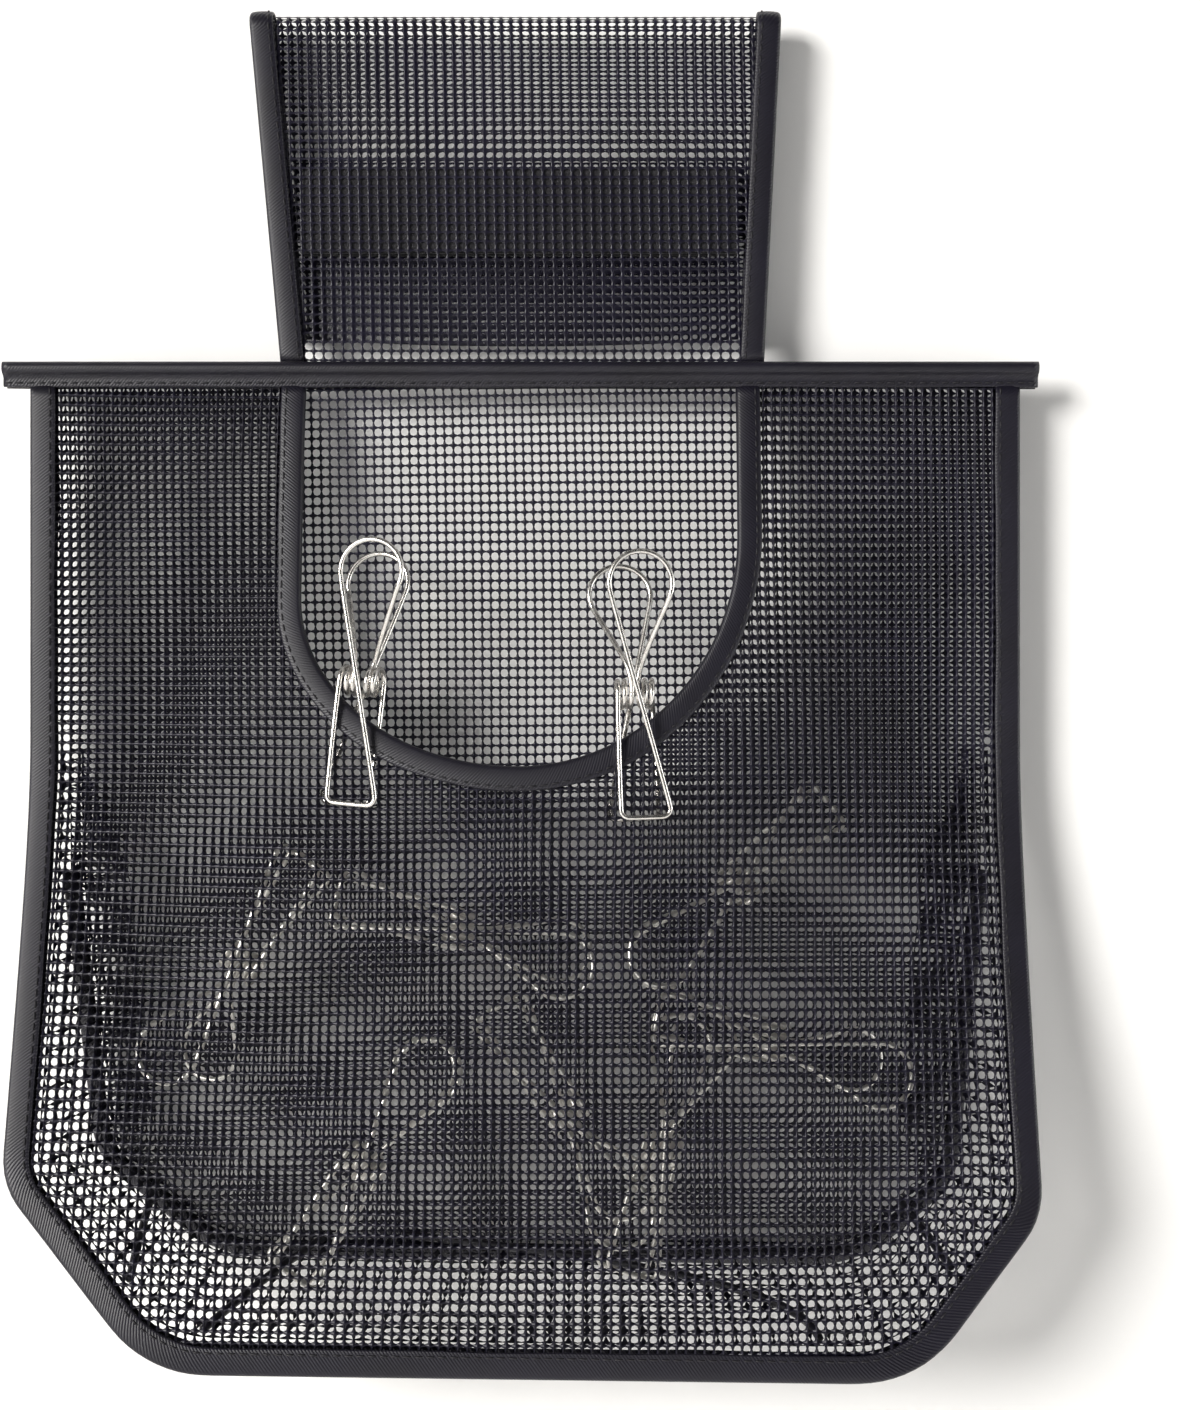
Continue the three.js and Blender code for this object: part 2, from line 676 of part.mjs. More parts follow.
function bandRod() {
  const y = -CLOTH / 2 - GAP - ROD_DIAMETER / 2;
  const z = BAND_TOP - 2 * TAPE - ROD_DIAMETER / 2;
  const reach = BAND_WIDTH / 2 - ROD_INSET;
  const ends = [-reach, reach].map((x) => new THREE.Vector3(x, y, z));
  return tube(ends, ROD_DIAMETER / 2, ROD_SIDES);
}

// Flap pieces

function flapRise(z) {
  return Math.min(1, (z - BAND_Z) / FLAP_RISE);
}

function flapHalf(z) {
  return THREE.MathUtils.lerp(FLAP_BASE_WIDTH, FLAP_TOP_WIDTH, flapRise(z)) / 2;
}

function flapMiddle(z) {
  return THREE.MathUtils.lerp(FLAP_BASE_SHIFT, FLAP_TOP_SHIFT, flapRise(z));
}

// Stations of the flap: up the front, then round the fold to where the tail hangs.
function flapStations(foot) {
  const out = new THREE.Vector3(0, -1, 0);
  const front = [foot, (foot + FOLD_Z) / 2].map((z) => ({ y: 0, z, out }));
  for (let i = 0; i <= FOLD_STEPS; i++) {
    const angle = Math.PI * (1 - i / FOLD_STEPS);
    const turned = new THREE.Vector3(0, Math.cos(angle), Math.sin(angle));
    front.push({
      y: FOLD_RADIUS + FOLD_RADIUS * turned.y,
      z: FOLD_Z + FOLD_RADIUS * turned.z,
      out: turned,
    });
  }
  return front;
}

function tailStations() {
  const out = new THREE.Vector3(0, 1, 0);
  return [FOLD_Z - GAP, (FOLD_Z + TAIL_END) / 2, TAIL_END].map((z) => ({ y: TAIL_Y, z, out }));
}

function flapCloth(stations) {
  const rows = stations.map(({ y, z, out }) => {
    const half = flapHalf(z) - EDGE;
    return [-half, -half / 2, 0, half / 2, half].map((x) => ({
      at: new THREE.Vector3(x + flapMiddle(z), y, z),
      step: out.clone().multiplyScalar(CLOTH / 2),
    }));
  });
  return sheet(rows);
}

function hangingFlap() {
  const corner = (sign) => {
    const xs = [SCOOP_HALF - GAP, FLAP_TOP_WIDTH].map((x) => sign * x);
    return boxBetween(
      new THREE.Vector3(Math.min(...xs), -FLAP_BINDING, BAND_LOW - FLAP_BINDING),
      new THREE.Vector3(Math.max(...xs), FLAP_BINDING, PANEL_TOP + GAP),
    );
  };
  return cut(flapCloth(flapStations(BAND_LOW)), corner(-1), corner(1));
}

function flapBinding(stations, sign) {
  const section = tapeSection(FLAP_BINDING, CLOTH / 2, CLOTH / 2);
  const loops = stations.map(({ y, z, out }) => {
    const edge = new THREE.Vector3(flapMiddle(z) + sign * (flapHalf(z) - EDGE), y, z);
    return section.map((s) => {
      const p = edge.clone().addScaledVector(out, s.y);
      p.x -= sign * s.x;
      return p;
    });
  });
  return loft(loops, section);
}

const TAPE_DEPTH = (LOOP_GAP - CLOTH - 4 * GAP) / 2; // one side of the closure with its pile or hooks

function closureTape(front) {
  const low = TAIL_END + CLOSURE_RISE;
  const half = flapHalf(low) - FLAP_BINDING - CLOSURE_INSET;
  const middle = flapMiddle(low);
  return boxBetween(
    new THREE.Vector3(middle - half, front, low),
    new THREE.Vector3(middle + half, front + TAPE_DEPTH, low + CLOSURE_HEIGHT),
  );
}

function tailFacing() {
  const rows = [TAIL_END, TAIL_END + FACING_HEIGHT].map((z) => {
    const half = flapHalf(z) - FLAP_BINDING - GAP;
    return [-half, half].map((x) => ({
      at: new THREE.Vector3(x + flapMiddle(z), TAIL_Y - LAYER, z),
      step: HALF_CLOTH,
    }));
  });
  return sheet(rows);
}

// Wire pegs. One wire makes both halves: each half is a jaw, a long wire that crosses the waist and a
// round handle, and a coil at each side of the waist joins the front half to the rear one.

// Middle line of the front half, from the left coil's outer end to the right coil's inner end.
function halfWire(jaw) {
  const slope = (CROSSING - jaw) / JAW_DROP;
  const onFront = (x, z) => new THREE.Vector3(x, -jaw - slope * (z + JAW_DROP), z);
  const outer = COIL_INNER + COIL_TURNS * COIL_PITCH;
  const legTop = new THREE.Vector3(-outer, -COIL_RADIUS, 0);
  const barLeft = new THREE.Vector3(-JAW_LEFT, -jaw, -JAW_DROP);
  const barRight = new THREE.Vector3(JAW_RIGHT, -jaw, -JAW_DROP);
  const tangent = (from, sign) => {
    const x = from.x - HANDLE_SHIFT;
    const z = from.z - HANDLE_RISE;
    return Math.atan2(z, x) + sign * Math.acos(HANDLE_RADIUS / Math.hypot(x, z));
  };
  const first = tangent(barRight, -1) + 2 * Math.PI;
  const last = tangent(ARM_KNEE, 1);
  const handle = Array.from({ length: HANDLE_STEPS + 1 }, (_, i) => {
    const angle = first + ((last - first) * i) / HANDLE_STEPS;
    return onFront(
      HANDLE_SHIFT + HANDLE_RADIUS * Math.cos(angle),
      HANDLE_RISE + HANDLE_RADIUS * Math.sin(angle),
    );
  });
  return [
    legTop,
    ...roundCorner(legTop, barLeft, barRight, JAW_BEND, BEND_STEPS),
    ...roundCorner(barLeft, barRight, handle[0], JAW_BEND, BEND_STEPS),
    ...handle,
    new THREE.Vector3(ARM_KNEE.x, ARM_KNEE.y, ARM_KNEE.z),
    new THREE.Vector3(COIL_INNER, COIL_RADIUS, ARM_FOOT),
    new THREE.Vector3(COIL_INNER, COIL_RADIUS, 0),
  ];
}

// The right coil, from the front half's arm round to the rear half's jaw leg, without its two ends.
function coilWire() {
  const steps = COIL_TURNS * COIL_STEPS;
  return Array.from({ length: steps - 1 }, (_, i) => {
    const turns = (COIL_TURNS * (i + 1)) / steps;
    const angle = 2 * Math.PI * turns;
    return new THREE.Vector3(
      COIL_INNER + COIL_PITCH * turns,
      COIL_RADIUS * Math.cos(angle),
      -COIL_RADIUS * Math.sin(angle),
    );
  });
}

const halfTurn = (points) => points.map((p) => new THREE.Vector3(-p.x, -p.y, p.z));

function shorten(points, start, end) {
  const trimmed = points.map((p) => p.clone());
  const pull = (from, to, by) => from.lerp(to, by / from.distanceTo(to));
  pull(trimmed[0], points[1], start);
  pull(trimmed.at(-1), points.at(-2), end);
  return trimmed;
}

function frontHalf() {
  return shorten(halfWire(JAW_CLIPPED), GAP, GAP);
}

// The rear half carries both coils, cut back where the front half's ends turn in along them.
function rearHalf() {
  const front = halfWire(JAW_CLIPPED);
  const coil = coilWire();
  const path = [front.at(-1), ...coil, ...halfTurn(front), ...halfTurn(coil), front[0]];
  const turn = COIL_RADIUS * THREE.MathUtils.degToRad(PEG_OPENING);
  return shorten(path, turn, turn);
}

// A whole peg, from the middle of its rear bar round to the same place.
function wholePeg() {
  const front = halfWire(JAW_CLOSED);
  const rear = halfTurn(front);
  const coil = coilWire();
  const bar = 1 + BEND_STEPS; // the last point of the first bend
  const middle = rear[bar].clone().lerp(rear[bar + 1], 0.5);
  const round = [
    middle,
    ...rear.slice(bar + 1),
    ...halfTurn(coil),
    ...front,
    ...coil,
    ...rear.slice(0, bar + 1),
    middle.clone(),
  ];
  return shorten(round, WIRE_END_GAP / 2, WIRE_END_GAP / 2);
}

// Least gap of a wire to itself, between places further apart along it than a few wire widths.
function selfGap(points) {
  const fine = [];
  const run = [];
  let length = 0;
  for (let i = 0; i + 1 < points.length; i++) {
    const step = points[i].distanceTo(points[i + 1]);
    const pieces = Math.ceil(step / GAP_SAMPLE);
    for (let k = 0; k < pieces; k++) {
      fine.push(points[i].clone().lerp(points[i + 1], k / pieces));
      run.push(length + (step * k) / pieces);
    }
    length += step;
  }
  let least = Infinity;
  for (let i = 0; i < fine.length; i++)
    for (let j = i + 1; j < fine.length; j++)
      if (run[j] - run[i] > 4 * WIRE) least = Math.min(least, fine[i].distanceTo(fine[j]));
  return least - WIRE;
}

// A peg's frame on the front panel: its length lies along the cloth, leaning from straight up.
function frameOnPanel(x, z, lean) {
  const rise = (ahead, back) => (ahead - back) / (2 * SLOPE_STEP);
  const slopeX = rise(frontY(x + SLOPE_STEP, z), frontY(x - SLOPE_STEP, z));
  const slopeZ = rise(frontY(x, z + SLOPE_STEP), frontY(x, z - SLOPE_STEP));
  const angle = THREE.MathUtils.degToRad(lean);
  const up = new THREE.Vector3(
    Math.sin(angle),
    slopeX * Math.sin(angle) + slopeZ * Math.cos(angle),
    Math.cos(angle),
  ).normalize();
  const behind = new THREE.Vector3(-slopeX, 1, -slopeZ).normalize();
  const across = behind.clone().cross(up);
  return new THREE.Matrix4().makeBasis(across, behind, up);
}

function piece(parent, name, geometry, finish) {
  const mesh = new THREE.Mesh(geometry, finishes[finish]);
  mesh.name = name;
  parent.add(mesh);
}

// Assembly

const pegBag = new THREE.Group();
const bag = new THREE.Group();
bag.position.y = -LINE_SEAT_Y;
pegBag.add(bag);

piece(bag, "front_panel", frontPanel(), "mesh");
piece(bag, "back_panel", backPanel(), "mesh");
piece(bag, "gusset_left", gusset(GUSSET_STATION, CHAMFER_STATION), "mesh");
piece(bag, "gusset_bottom", gusset(CHAMFER_STATION, STATIONS - 1 - CHAMFER_STATION), "mesh");
const rightGusset = [STATIONS - 1 - CHAMFER_STATION, STATIONS - 1 - GUSSET_STATION];
piece(bag, "gusset_right", gusset(...rightGusset), "mesh");
piece(bag, "front_edge_binding", frontEdgeBinding(), "tape");
piece(bag, "back_edge_binding", backEdgeBinding(), "tape");
piece(bag, "scoop_binding", scoopBinding(), "tape");
piece(bag, "top_band", topBand(), "tape");
piece(bag, "band_rod", bandRod(), "rod");

piece(bag, "hanging_flap", hangingFlap(), "mesh");
piece(bag, "flap_left_binding", flapBinding(flapStations(BAND_TOP + GAP), -1), "tape");
piece(bag, "flap_right_binding", flapBinding(flapStations(BAND_TOP + GAP), 1), "tape");
piece(bag, "flap_tail", flapCloth(tailStations()), "mesh");
piece(bag, "tail_left_binding", flapBinding(tailStations(), -1), "tape");
piece(bag, "tail_right_binding", flapBinding(tailStations(), 1), "tape");
piece(bag, "tail_facing", tailFacing(), "mesh");
piece(bag, "loop_strip", closureTape(CLOTH / 2 + GAP), "closure");
piece(bag, "hook_strip", closureTape(CLOTH / 2 + 2 * GAP + TAPE_DEPTH), "closure");

for (const [name, { across, below, lean }] of Object.entries(CLIPPED_PEGS)) {
  const peg = new THREE.Group();
  const x = across * SCOOP_HALF;
  const z = BAND_Z - SCOOP_DEPTH - below;
  const basis = frameOnPanel(x, z, lean);
  peg.quaternion.setFromRotationMatrix(basis);
  peg.position.set(0, 0, JAW_DROP).applyMatrix4(basis).add(new THREE.Vector3(x, frontY(x, z), z));
  piece(peg, name + "_front_half", tube(frontHalf(), WIRE_RADIUS, WIRE_SIDES), "wire");
  piece(peg, name + "_rear_half", tube(rearHalf(), WIRE_RADIUS, WIRE_SIDES), "wire");
  bag.add(peg);
}

// A loose peg lies with its front half flat on the inside of the front panel.
const looseWire = wholePeg();
LOOSE_PEGS.forEach(({ across, down, lean, over }, i) => {
  const peg = new THREE.Group();
  const x = across * BODY_HALF;
  const z = BAND_Z - down * BODY_DROP;
  const slope = Math.atan2(CROSSING - JAW_CLOSED, JAW_DROP);
  const basis = frameOnPanel(x, z, lean).multiply(new THREE.Matrix4().makeRotationX(-slope));
  peg.quaternion.setFromRotationMatrix(basis);
  peg.position.set(x, 0, z);
  const reach = CLOTH / 2 + 2 * GAP + WIRE_RADIUS + over * WIRE;
  const needed = looseWire.map((p) => {
    const turned = p.clone().applyMatrix4(basis).add(peg.position);
    return frontY(turned.x, turned.z) + reach - turned.y;
  });
  peg.position.y = Math.max(...needed);
  piece(peg, "loose_peg_" + (i + 1), tube(looseWire, WIRE_RADIUS, LOOSE_WIRE_SIDES), "wire");
  bag.add(peg);
});

console.log("clipped peg wire, least gap to itself: " + selfGap(rearHalf()).toFixed(2) + " mm");
console.log("loose peg wire, least gap to itself: " + selfGap(looseWire).toFixed(2) + " mm");

export default pegBag;
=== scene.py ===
"""Looks of the hanging peg bag: open mesh cloth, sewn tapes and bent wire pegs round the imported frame."""

import math

import bpy
import numpy as np
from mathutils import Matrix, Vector

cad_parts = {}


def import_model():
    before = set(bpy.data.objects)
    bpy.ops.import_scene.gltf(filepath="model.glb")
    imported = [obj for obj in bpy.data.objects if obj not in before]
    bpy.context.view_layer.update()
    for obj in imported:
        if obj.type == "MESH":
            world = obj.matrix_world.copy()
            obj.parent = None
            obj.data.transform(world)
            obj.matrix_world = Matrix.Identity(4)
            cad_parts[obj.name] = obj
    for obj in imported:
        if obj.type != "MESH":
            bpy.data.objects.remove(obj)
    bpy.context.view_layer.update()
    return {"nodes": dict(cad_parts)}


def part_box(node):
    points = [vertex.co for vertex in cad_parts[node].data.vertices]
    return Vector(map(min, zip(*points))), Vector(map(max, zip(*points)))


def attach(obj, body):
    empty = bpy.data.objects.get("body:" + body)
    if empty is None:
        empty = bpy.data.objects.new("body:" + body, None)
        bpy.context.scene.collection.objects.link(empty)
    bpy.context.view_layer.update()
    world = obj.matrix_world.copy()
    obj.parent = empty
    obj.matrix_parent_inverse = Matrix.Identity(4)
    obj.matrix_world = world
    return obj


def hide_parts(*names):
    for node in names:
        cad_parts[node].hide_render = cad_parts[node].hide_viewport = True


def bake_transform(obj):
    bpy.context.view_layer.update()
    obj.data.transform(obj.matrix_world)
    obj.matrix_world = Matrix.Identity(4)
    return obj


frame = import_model()

# Sizes of the part, in millimetres
MM = 0.001
LINE_SEAT_Y = 3.9
CLOTH = 0.8
TAPE = 0.8
GAP = 0.3
EDGE = GAP + TAPE
LAYER = CLOTH + GAP
FLAP_RISE = 106.0
FLAP_TOP_WIDTH = 155.0
FLAP_BASE_WIDTH = 140.0
FLAP_TOP_SHIFT = -1.7
FLAP_BASE_SHIFT = 0.5
LOOP_GAP = 7.0
TAIL_DROP = 95.0
FACING_HEIGHT = 54.0
BAND_WIDTH = 300.0
BAND_HEIGHT = 9.3
ROD_DIAMETER = 1.9
PANEL_TUCK = 3.0
BODY_HALF = 143.0
BODY_DROP = 275.0
SPLIT_DROP = 97.0
LEFT_CHAMFER = {
    "half": BODY_HALF - 1.5, "drop": BODY_DROP - 48, "foot": BODY_HALF - 44.5, "hem": BODY_DROP - 1,
}
RIGHT_CHAMFER = {
    "half": BODY_HALF + 1, "drop": BODY_DROP - 40, "foot": BODY_HALF - 35, "hem": BODY_DROP + 1.7,
}
CORNER_RADIUS = 20.0
FOOT_RADIUS = 36.0
FRONT_DEPTH = 40.0
BACK_DEPTH = 11.0
BULGE_POWER = 0.7
BULGE_HALF = 130.0
BULGE_FADE = 1.5
WEDGE_EASE = 0.22
EDGE_BINDING = 8.5
BACK_BINDING = 4.5
BACK_INSET = 17.0
STEP_DROP = 6.0
GUSSET_START = 46.0
GUSSET_EASE = 1.2
SCOOP_HALF = 63.5
SCOOP_LEFT_STRAIGHT = 64.0
SCOOP_RIGHT_STRAIGHT = 46.0
SCOOP_DEPTH = 113.0
WIRE = 1.5
COIL_RADIUS = 3.75
COIL_TURNS = 2
COIL_PITCH = 2.0
COIL_INNER = 1.4
COIL_OUTER = COIL_INNER + COIL_TURNS * COIL_PITCH
JAW_DROP = 35.0
JAW_LEFT = 5.6
JAW_RIGHT = 8.9
JAW_BEND = 2.2
JAW_CLIPPED = 1.9
JAW_CLOSED = 1.0
HANDLE_RISE = 30.0
HANDLE_SHIFT = 1.7
HANDLE_RADIUS = 8.9
CROSSING = 5.9
ARM_KNEE = (2.4, 2.8, 8.0)
ARM_FOOT = 2.6
WIRE_END_GAP = 2.0
# Clipped pegs: share of the scoop's half width, jaw bar below the scoop, and lean in degrees
CLIPPED_PEGS = {"left_peg": (-0.756, 9.6, 6.0), "right_peg": (0.54, 13.4, -2.4)}
# Loose pegs: shares of the body's half width and drop, lean in degrees, and wires behind the cloth
LOOSE_PEGS = [
    (-0.549, 0.611, 214.0, 0),
    (-0.12, 0.575, 105.0, 0),
    (-0.296, 0.807, 33.0, 0),
    (0.282, 0.796, 18.0, 3),
    (0.437, 0.531, 228.0, 0),
    (0.092, 0.756, 147.0, 0),
    (0.5, 0.691, 105.0, 0),
]
BAND_Z = -FLAP_RISE
BAND_LOW = BAND_Z - BAND_HEIGHT / 2
BAND_TOP = BAND_Z + BAND_HEIGHT / 2
PANEL_TOP = BAND_Z + PANEL_TUCK
UNDER_BAND = BAND_LOW - GAP
SPLIT_Z = BAND_Z - SPLIT_DROP
WEDGE_Z = SPLIT_Z - STEP_DROP
HEM_Z = BAND_Z - (LEFT_CHAMFER["hem"] + RIGHT_CHAMFER["hem"]) / 2
FOLD_RADIUS = (LOOP_GAP + CLOTH) / 2
FOLD_Z = -LOOP_GAP / 2
TAIL_Y = 2 * FOLD_RADIUS
GUSSET_REACH = EDGE_BINDING - TAPE + CLOTH / 2
GUSSET_BACK_REACH = BACK_BINDING - TAPE + CLOTH / 2 + GUSSET_EASE

# Lengths up the flap from its foot, over the fold and down the tail
FLAP_RUN = FOLD_Z - BAND_LOW
FOLD_RUN = math.pi * FOLD_RADIUS
TAIL_RUN = FOLD_Z + TAIL_DROP
TAIL_TOP = FLAP_RUN + FOLD_RUN
TAIL_FOOT = TAIL_TOP + TAIL_RUN
TAIL_CURL = 2.5
CURL_RUN = 40.0
BEND_RUN = 3.2

# Widths of the tapes and the lower lip of the band as they show
EDGE_TAPE = 7.4
SCOOP_TAPE = 7.0
FLAP_TAPE = 7.0
BAND_LIP = BAND_LOW + 2.0
LIP_TUCK = 0.4
# How far each tape's legs swell, and the spacing of its stations
FRONT_PUFF = 0.14
BACK_PUFF = 0.25
SOFT_PUFF = 0.2
EDGE_STEP = 3.0
SOFT_STEP = 2.5
FOLD_STATIONS = 19
BAND_STATIONS = 151
# Section of a folded tape: its bend, its lips, and the points of its legs, bends and inner run
TAPE_BEND = 1.3
LIP_THICK = 0.45
LIP_ROUND = 0.12
LEG_POINTS = 7
BEND_POINTS = 5
INNER_POINTS = 6
# Sewing thread
STITCH_LENGTH = 2.4
STITCH_GAP = 0.75
STITCH_RADIUS = 0.28
STITCH_INSET = 1.4
STITCH_LIFT = 0.1
FORWARD = np.array([0.0, -1.0, 0.0])
# Unevenness of a tape's mouth and of the band's lip: height, length and phase of each wave
MOUTH_WAVES = ((0.12, 13.0, 0.0), (0.1, 5.7, 1.0))
BAND_WAVES = ((0.12, 9.0, 0.0), (0.08, 4.1, 0.7))

# The cloth: pitch of its holes across and down, and half a hole as a share of the pitch
BODY_PITCH = (2.55, 2.83)
FLAP_PITCH = (2.83, 2.65)
GUSSET_PITCH = (5.1, 5.1)
HEM_PITCH = (2.55, 2.3)
FRONT_HOLE = 0.386
BACK_HOLE = 0.422
FACING_HOLE = 0.26
GUSSET_HOLE = 0.475
HEM_HOLE = 0.31
HOLE_CORNER = 0.75
FRONT_LEAN = 0.3
BACK_LEAN = -0.5
FRONT_SWAY = 0.9
BACK_SWAY = -0.7
WEAVE_SPARE = 9.0
# Heights of the strands along and across, and depth of the holes' rims
DEEP_WEAVE = (0.9, 0.0, 0.45)
FLAT_WEAVE = (0.18, 0.05, 0.12)
# How far each cloth's last holes stay in from its edge
FRONT_MARGIN = 2.2
BACK_MARGIN = 1.8
FLAP_MARGIN = 1.4
FACING_MARGIN = 7.0
# The sway of slack cloth fades towards the top, and towards the sides
SWAY_RISE = 3.0
SWAY_FADE = 1.1
SWAY_HALF = 125.0

# Turned-in hem of the gusset, and its bow between the bound edges
HEM_WIDE = 13.0
HEM_NARROW = 2.6
HEM_FADE = 26.0
HEM_BEND_Z = BAND_Z - 240.0
HEM_TOP_Z = WEDGE_Z - 12.0
GUSSET_BOW = 0.05
BOW_WIDTH = 30.0
# Seams across the gusset: where each meets the front edge and the back edge, and how it bends
SEAM_RADIUS = 1.2
GUSSET_SEAMS = [
    ((-85.6, -373.2), (-57.0, -364.0), 1.0),
    ((-105.9, -355.5), (-113.0, -345.0), 1.0),
    ((84.0, -372.0), (-40.0, -364.0), 2.2),
    ((118.0, -352.0), (108.0, -342.0), 1.0),
]

# Hook and loop strips, in metres
PILE_ROUND = 0.0006
PILE_RIM = PILE_ROUND * 2.2
PILE_MARGIN = 0.006
PILE_HEIGHT = 0.00012
PILE_WAVES = (3100, 2900)

# Points in a peg's jaw bend, handle and coil turn, and the wire's spacing and sides
COARSE_PEG = (3, 8, 9)
FINE_PEG = (6, 24, 20)
CLIPPED_SPACING = 0.5
LOOSE_SPACING = 0.6
WIRE_SIDES = 12
SEAM_SIDES = 8
JOIN_PAD = 5
TIP_REACH = 0.3
TIP_WIDTH = 0.7

# Camera, lamps and stage, in metres and watts
CAMERA_PLACE = (0.023, -0.544, -0.2008)
CAMERA_SENSOR = 36.0
CAMERA_LENS = 47.41
CAMERA_NEAR = 0.01
LAMP_TARGET = (0, 0, -0.2)
KEY_LAMP = {"place": (-3.0, -3.0, 0.9), "size": 1.9, "power": 285, "color": (1.0, 0.982, 0.95)}
FILL_LAMP = {"place": (2.7, -0.7, -0.1), "size": 1.2, "power": 22, "color": (1, 1, 1)}
SKY_LIGHT = 0.07
SKY_MIRRORED = 0.06
WHITE_SIDE = (0.6, 0.8, 0.0)
WHITE_RANGE = (-0.1, 0.4)
PAPER = (0.86, 0.856, 0.85)
WALL_GLOW = 0.02
FLOOR_GLOW = 0.3
WALL_Y = 0.0098
FLOOR_Z = -0.75
STAGE_HALF = 2.5


def world(points):
    """Points in millimetres in the bag's own frame, as metres in the row frame."""
    moved = np.asarray(points, float) + np.array([0.0, -LINE_SEAT_Y, 0.0])
    return moved * MM


# Marks a piece on the tail's fold, whose transform is baked in and which rides on no body, and the ends of
# that fold's bend
FOLD = "fold"
BEND_START, BEND_END = world([[0, TAIL_Y, FOLD_Z], [0, TAIL_Y, FOLD_Z - BEND_RUN]])


def placed(name, data):
    """A new object in the scene."""
    obj = bpy.data.objects.new(name, data)
    bpy.context.scene.collection.objects.link(obj)
    return obj


def new_object(name, points, quads, tris=(), materials=(), kinds=None, uv=None):
    """A smooth mesh object from arrays of points, quads and triangles. uv has one pair for each point."""
    quads = np.asarray(quads, np.int64).reshape(-1, 4)
    tris = np.asarray(tris, np.int64).reshape(-1, 3)
    mesh = bpy.data.meshes.new(name)
    mesh.from_pydata(world(points), [], quads.tolist() + tris.tolist(), shade_flat=False)
    if kinds is not None:
        mesh.polygons.foreach_set("material_index", np.asarray(kinds, np.int32))
    if uv is not None:
        loops = np.concatenate([quads.ravel(), tris.ravel()])
        layer = mesh.uv_layers.new(name="UVMap")
        layer.data.foreach_set("uv", np.asarray(uv, np.float32)[loops].ravel())
    for finish in materials:
        mesh.materials.append(finish)
    mesh.validate()
    return placed(name, mesh)


def dress(obj, nodes, body):
    """Hides the nodes a piece stands for and puts it on the body it rides on, if it has one; a piece on the
    fold has its transform baked in instead.
    """
    if body == FOLD:
        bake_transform(obj)
    elif body:
        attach(obj, body)
    if nodes:
        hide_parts(*nodes)


# Paths

def unit(vectors):
    """Vectors of length one, each along the last axis."""
    return vectors / np.linalg.norm(vectors, axis=-1, keepdims=True)


def lengths(path):
    """Length along a path at each of its points."""
    return np.concatenate([[0], np.cumsum(np.linalg.norm(np.diff(path, axis=0), axis=1))])


def at_lengths(at, run, values):
    """Rows of values, given at the lengths of a run, at other lengths along it."""
    return np.stack([np.interp(at, run, values[:, k]) for k in range(values.shape[1])], -1)


def resample(path, spacing):
    """A path with its points at an even spacing."""
    run = lengths(path)
    count = max(2, int(round(run[-1] / spacing)) + 1)
    return at_lengths(np.linspace(0, run[-1], count), run, path)


def waves(at, terms):
    """Sum of sine waves, each given by its height, length and phase."""
    return sum(height * np.sin(at / length + phase) for height, length, phase in terms)


def along_line(start, end, steps):
    """Points from after the start up to the end."""
    parts = np.arange(1, steps + 1)[:, None] / steps
    return start + (end - start) * parts


def round_corner(before, corner, after, radius, steps):
    """Points of an arc that rounds a corner between two others."""
    back = unit(before - corner)
    on = unit(after - corner)
    half = math.acos(np.clip(back @ on, -1, 1)) / 2
    reach = radius / math.tan(half)
    middle = back + on
    centre = corner + middle / np.linalg.norm(middle) * radius / math.sin(half)
    first = corner + back * reach - centre
    last = corner + on * reach - centre
    turn = math.pi - 2 * half
    parts = np.linspace(0, 1, steps + 1)[:, None]
    a = np.sin((1 - parts) * turn) / math.sin(turn)
    b = np.sin(parts * turn) / math.sin(turn)
    return centre + first * a + last * b


def inward(path):
    """Directions across a path in the front view, to its left as it runs."""
    ahead = unit(np.gradient(path, axis=0))
    return np.stack([-ahead[:, 1], ahead[:, 0]], 1)


def inside(points, polygon):
    """Which points lie in a closed polygon, both in the front view."""
    found = np.zeros(len(points), bool)
    x, z = points[:, 0], points[:, 1]
    for (x1, z1), (x2, z2) in zip(polygon, np.roll(polygon, -1, axis=0)):
        crosses = (z1 > z) != (z2 > z)
        if z1 != z2:
            found ^= crosses & (x < (x2 - x1) * (z - z1) / (z2 - z1) + x1)
    return found


# Surfaces of the two panels

def opening(x, z):
    """How far the bag stands open at a place, from 0 at the band to 1 at the hem."""
    level = np.clip((BAND_LOW - z) / (BAND_LOW - HEM_Z), 0, 1)
    middle = level**BULGE_POWER
    down = np.clip((WEDGE_Z - z) / (WEDGE_Z - HEM_Z), 0, 1)
    edge = (np.hypot(down, WEDGE_EASE) - WEDGE_EASE) / (math.hypot(1, WEDGE_EASE) - WEDGE_EASE)
    out = np.minimum(1, np.abs(x) / BULGE_HALF)
    return edge + (middle - edge) * (1 - out**2) ** BULGE_FADE


def front_y(x, z):
    return -FRONT_DEPTH * opening(x, z)


def back_y(x, z):
    return LAYER + BACK_DEPTH * opening(x, z)


def beside(surface, path, normals, a, b):
    """Points on a panel at a distance a in from a path, and b behind the panel's middle."""
    p = path + normals * a
    return np.stack([p[:, 0], surface(p[:, 0], p[:, 1]) + b, p[:, 1]], 1)


# Outlines in the front view, down the left, along the hem and up the right

def chamfer_foot(sign, chamfer, inset):
    return np.array([sign * (chamfer["foot"] - inset / 2), BAND_Z - chamfer["hem"] + inset])


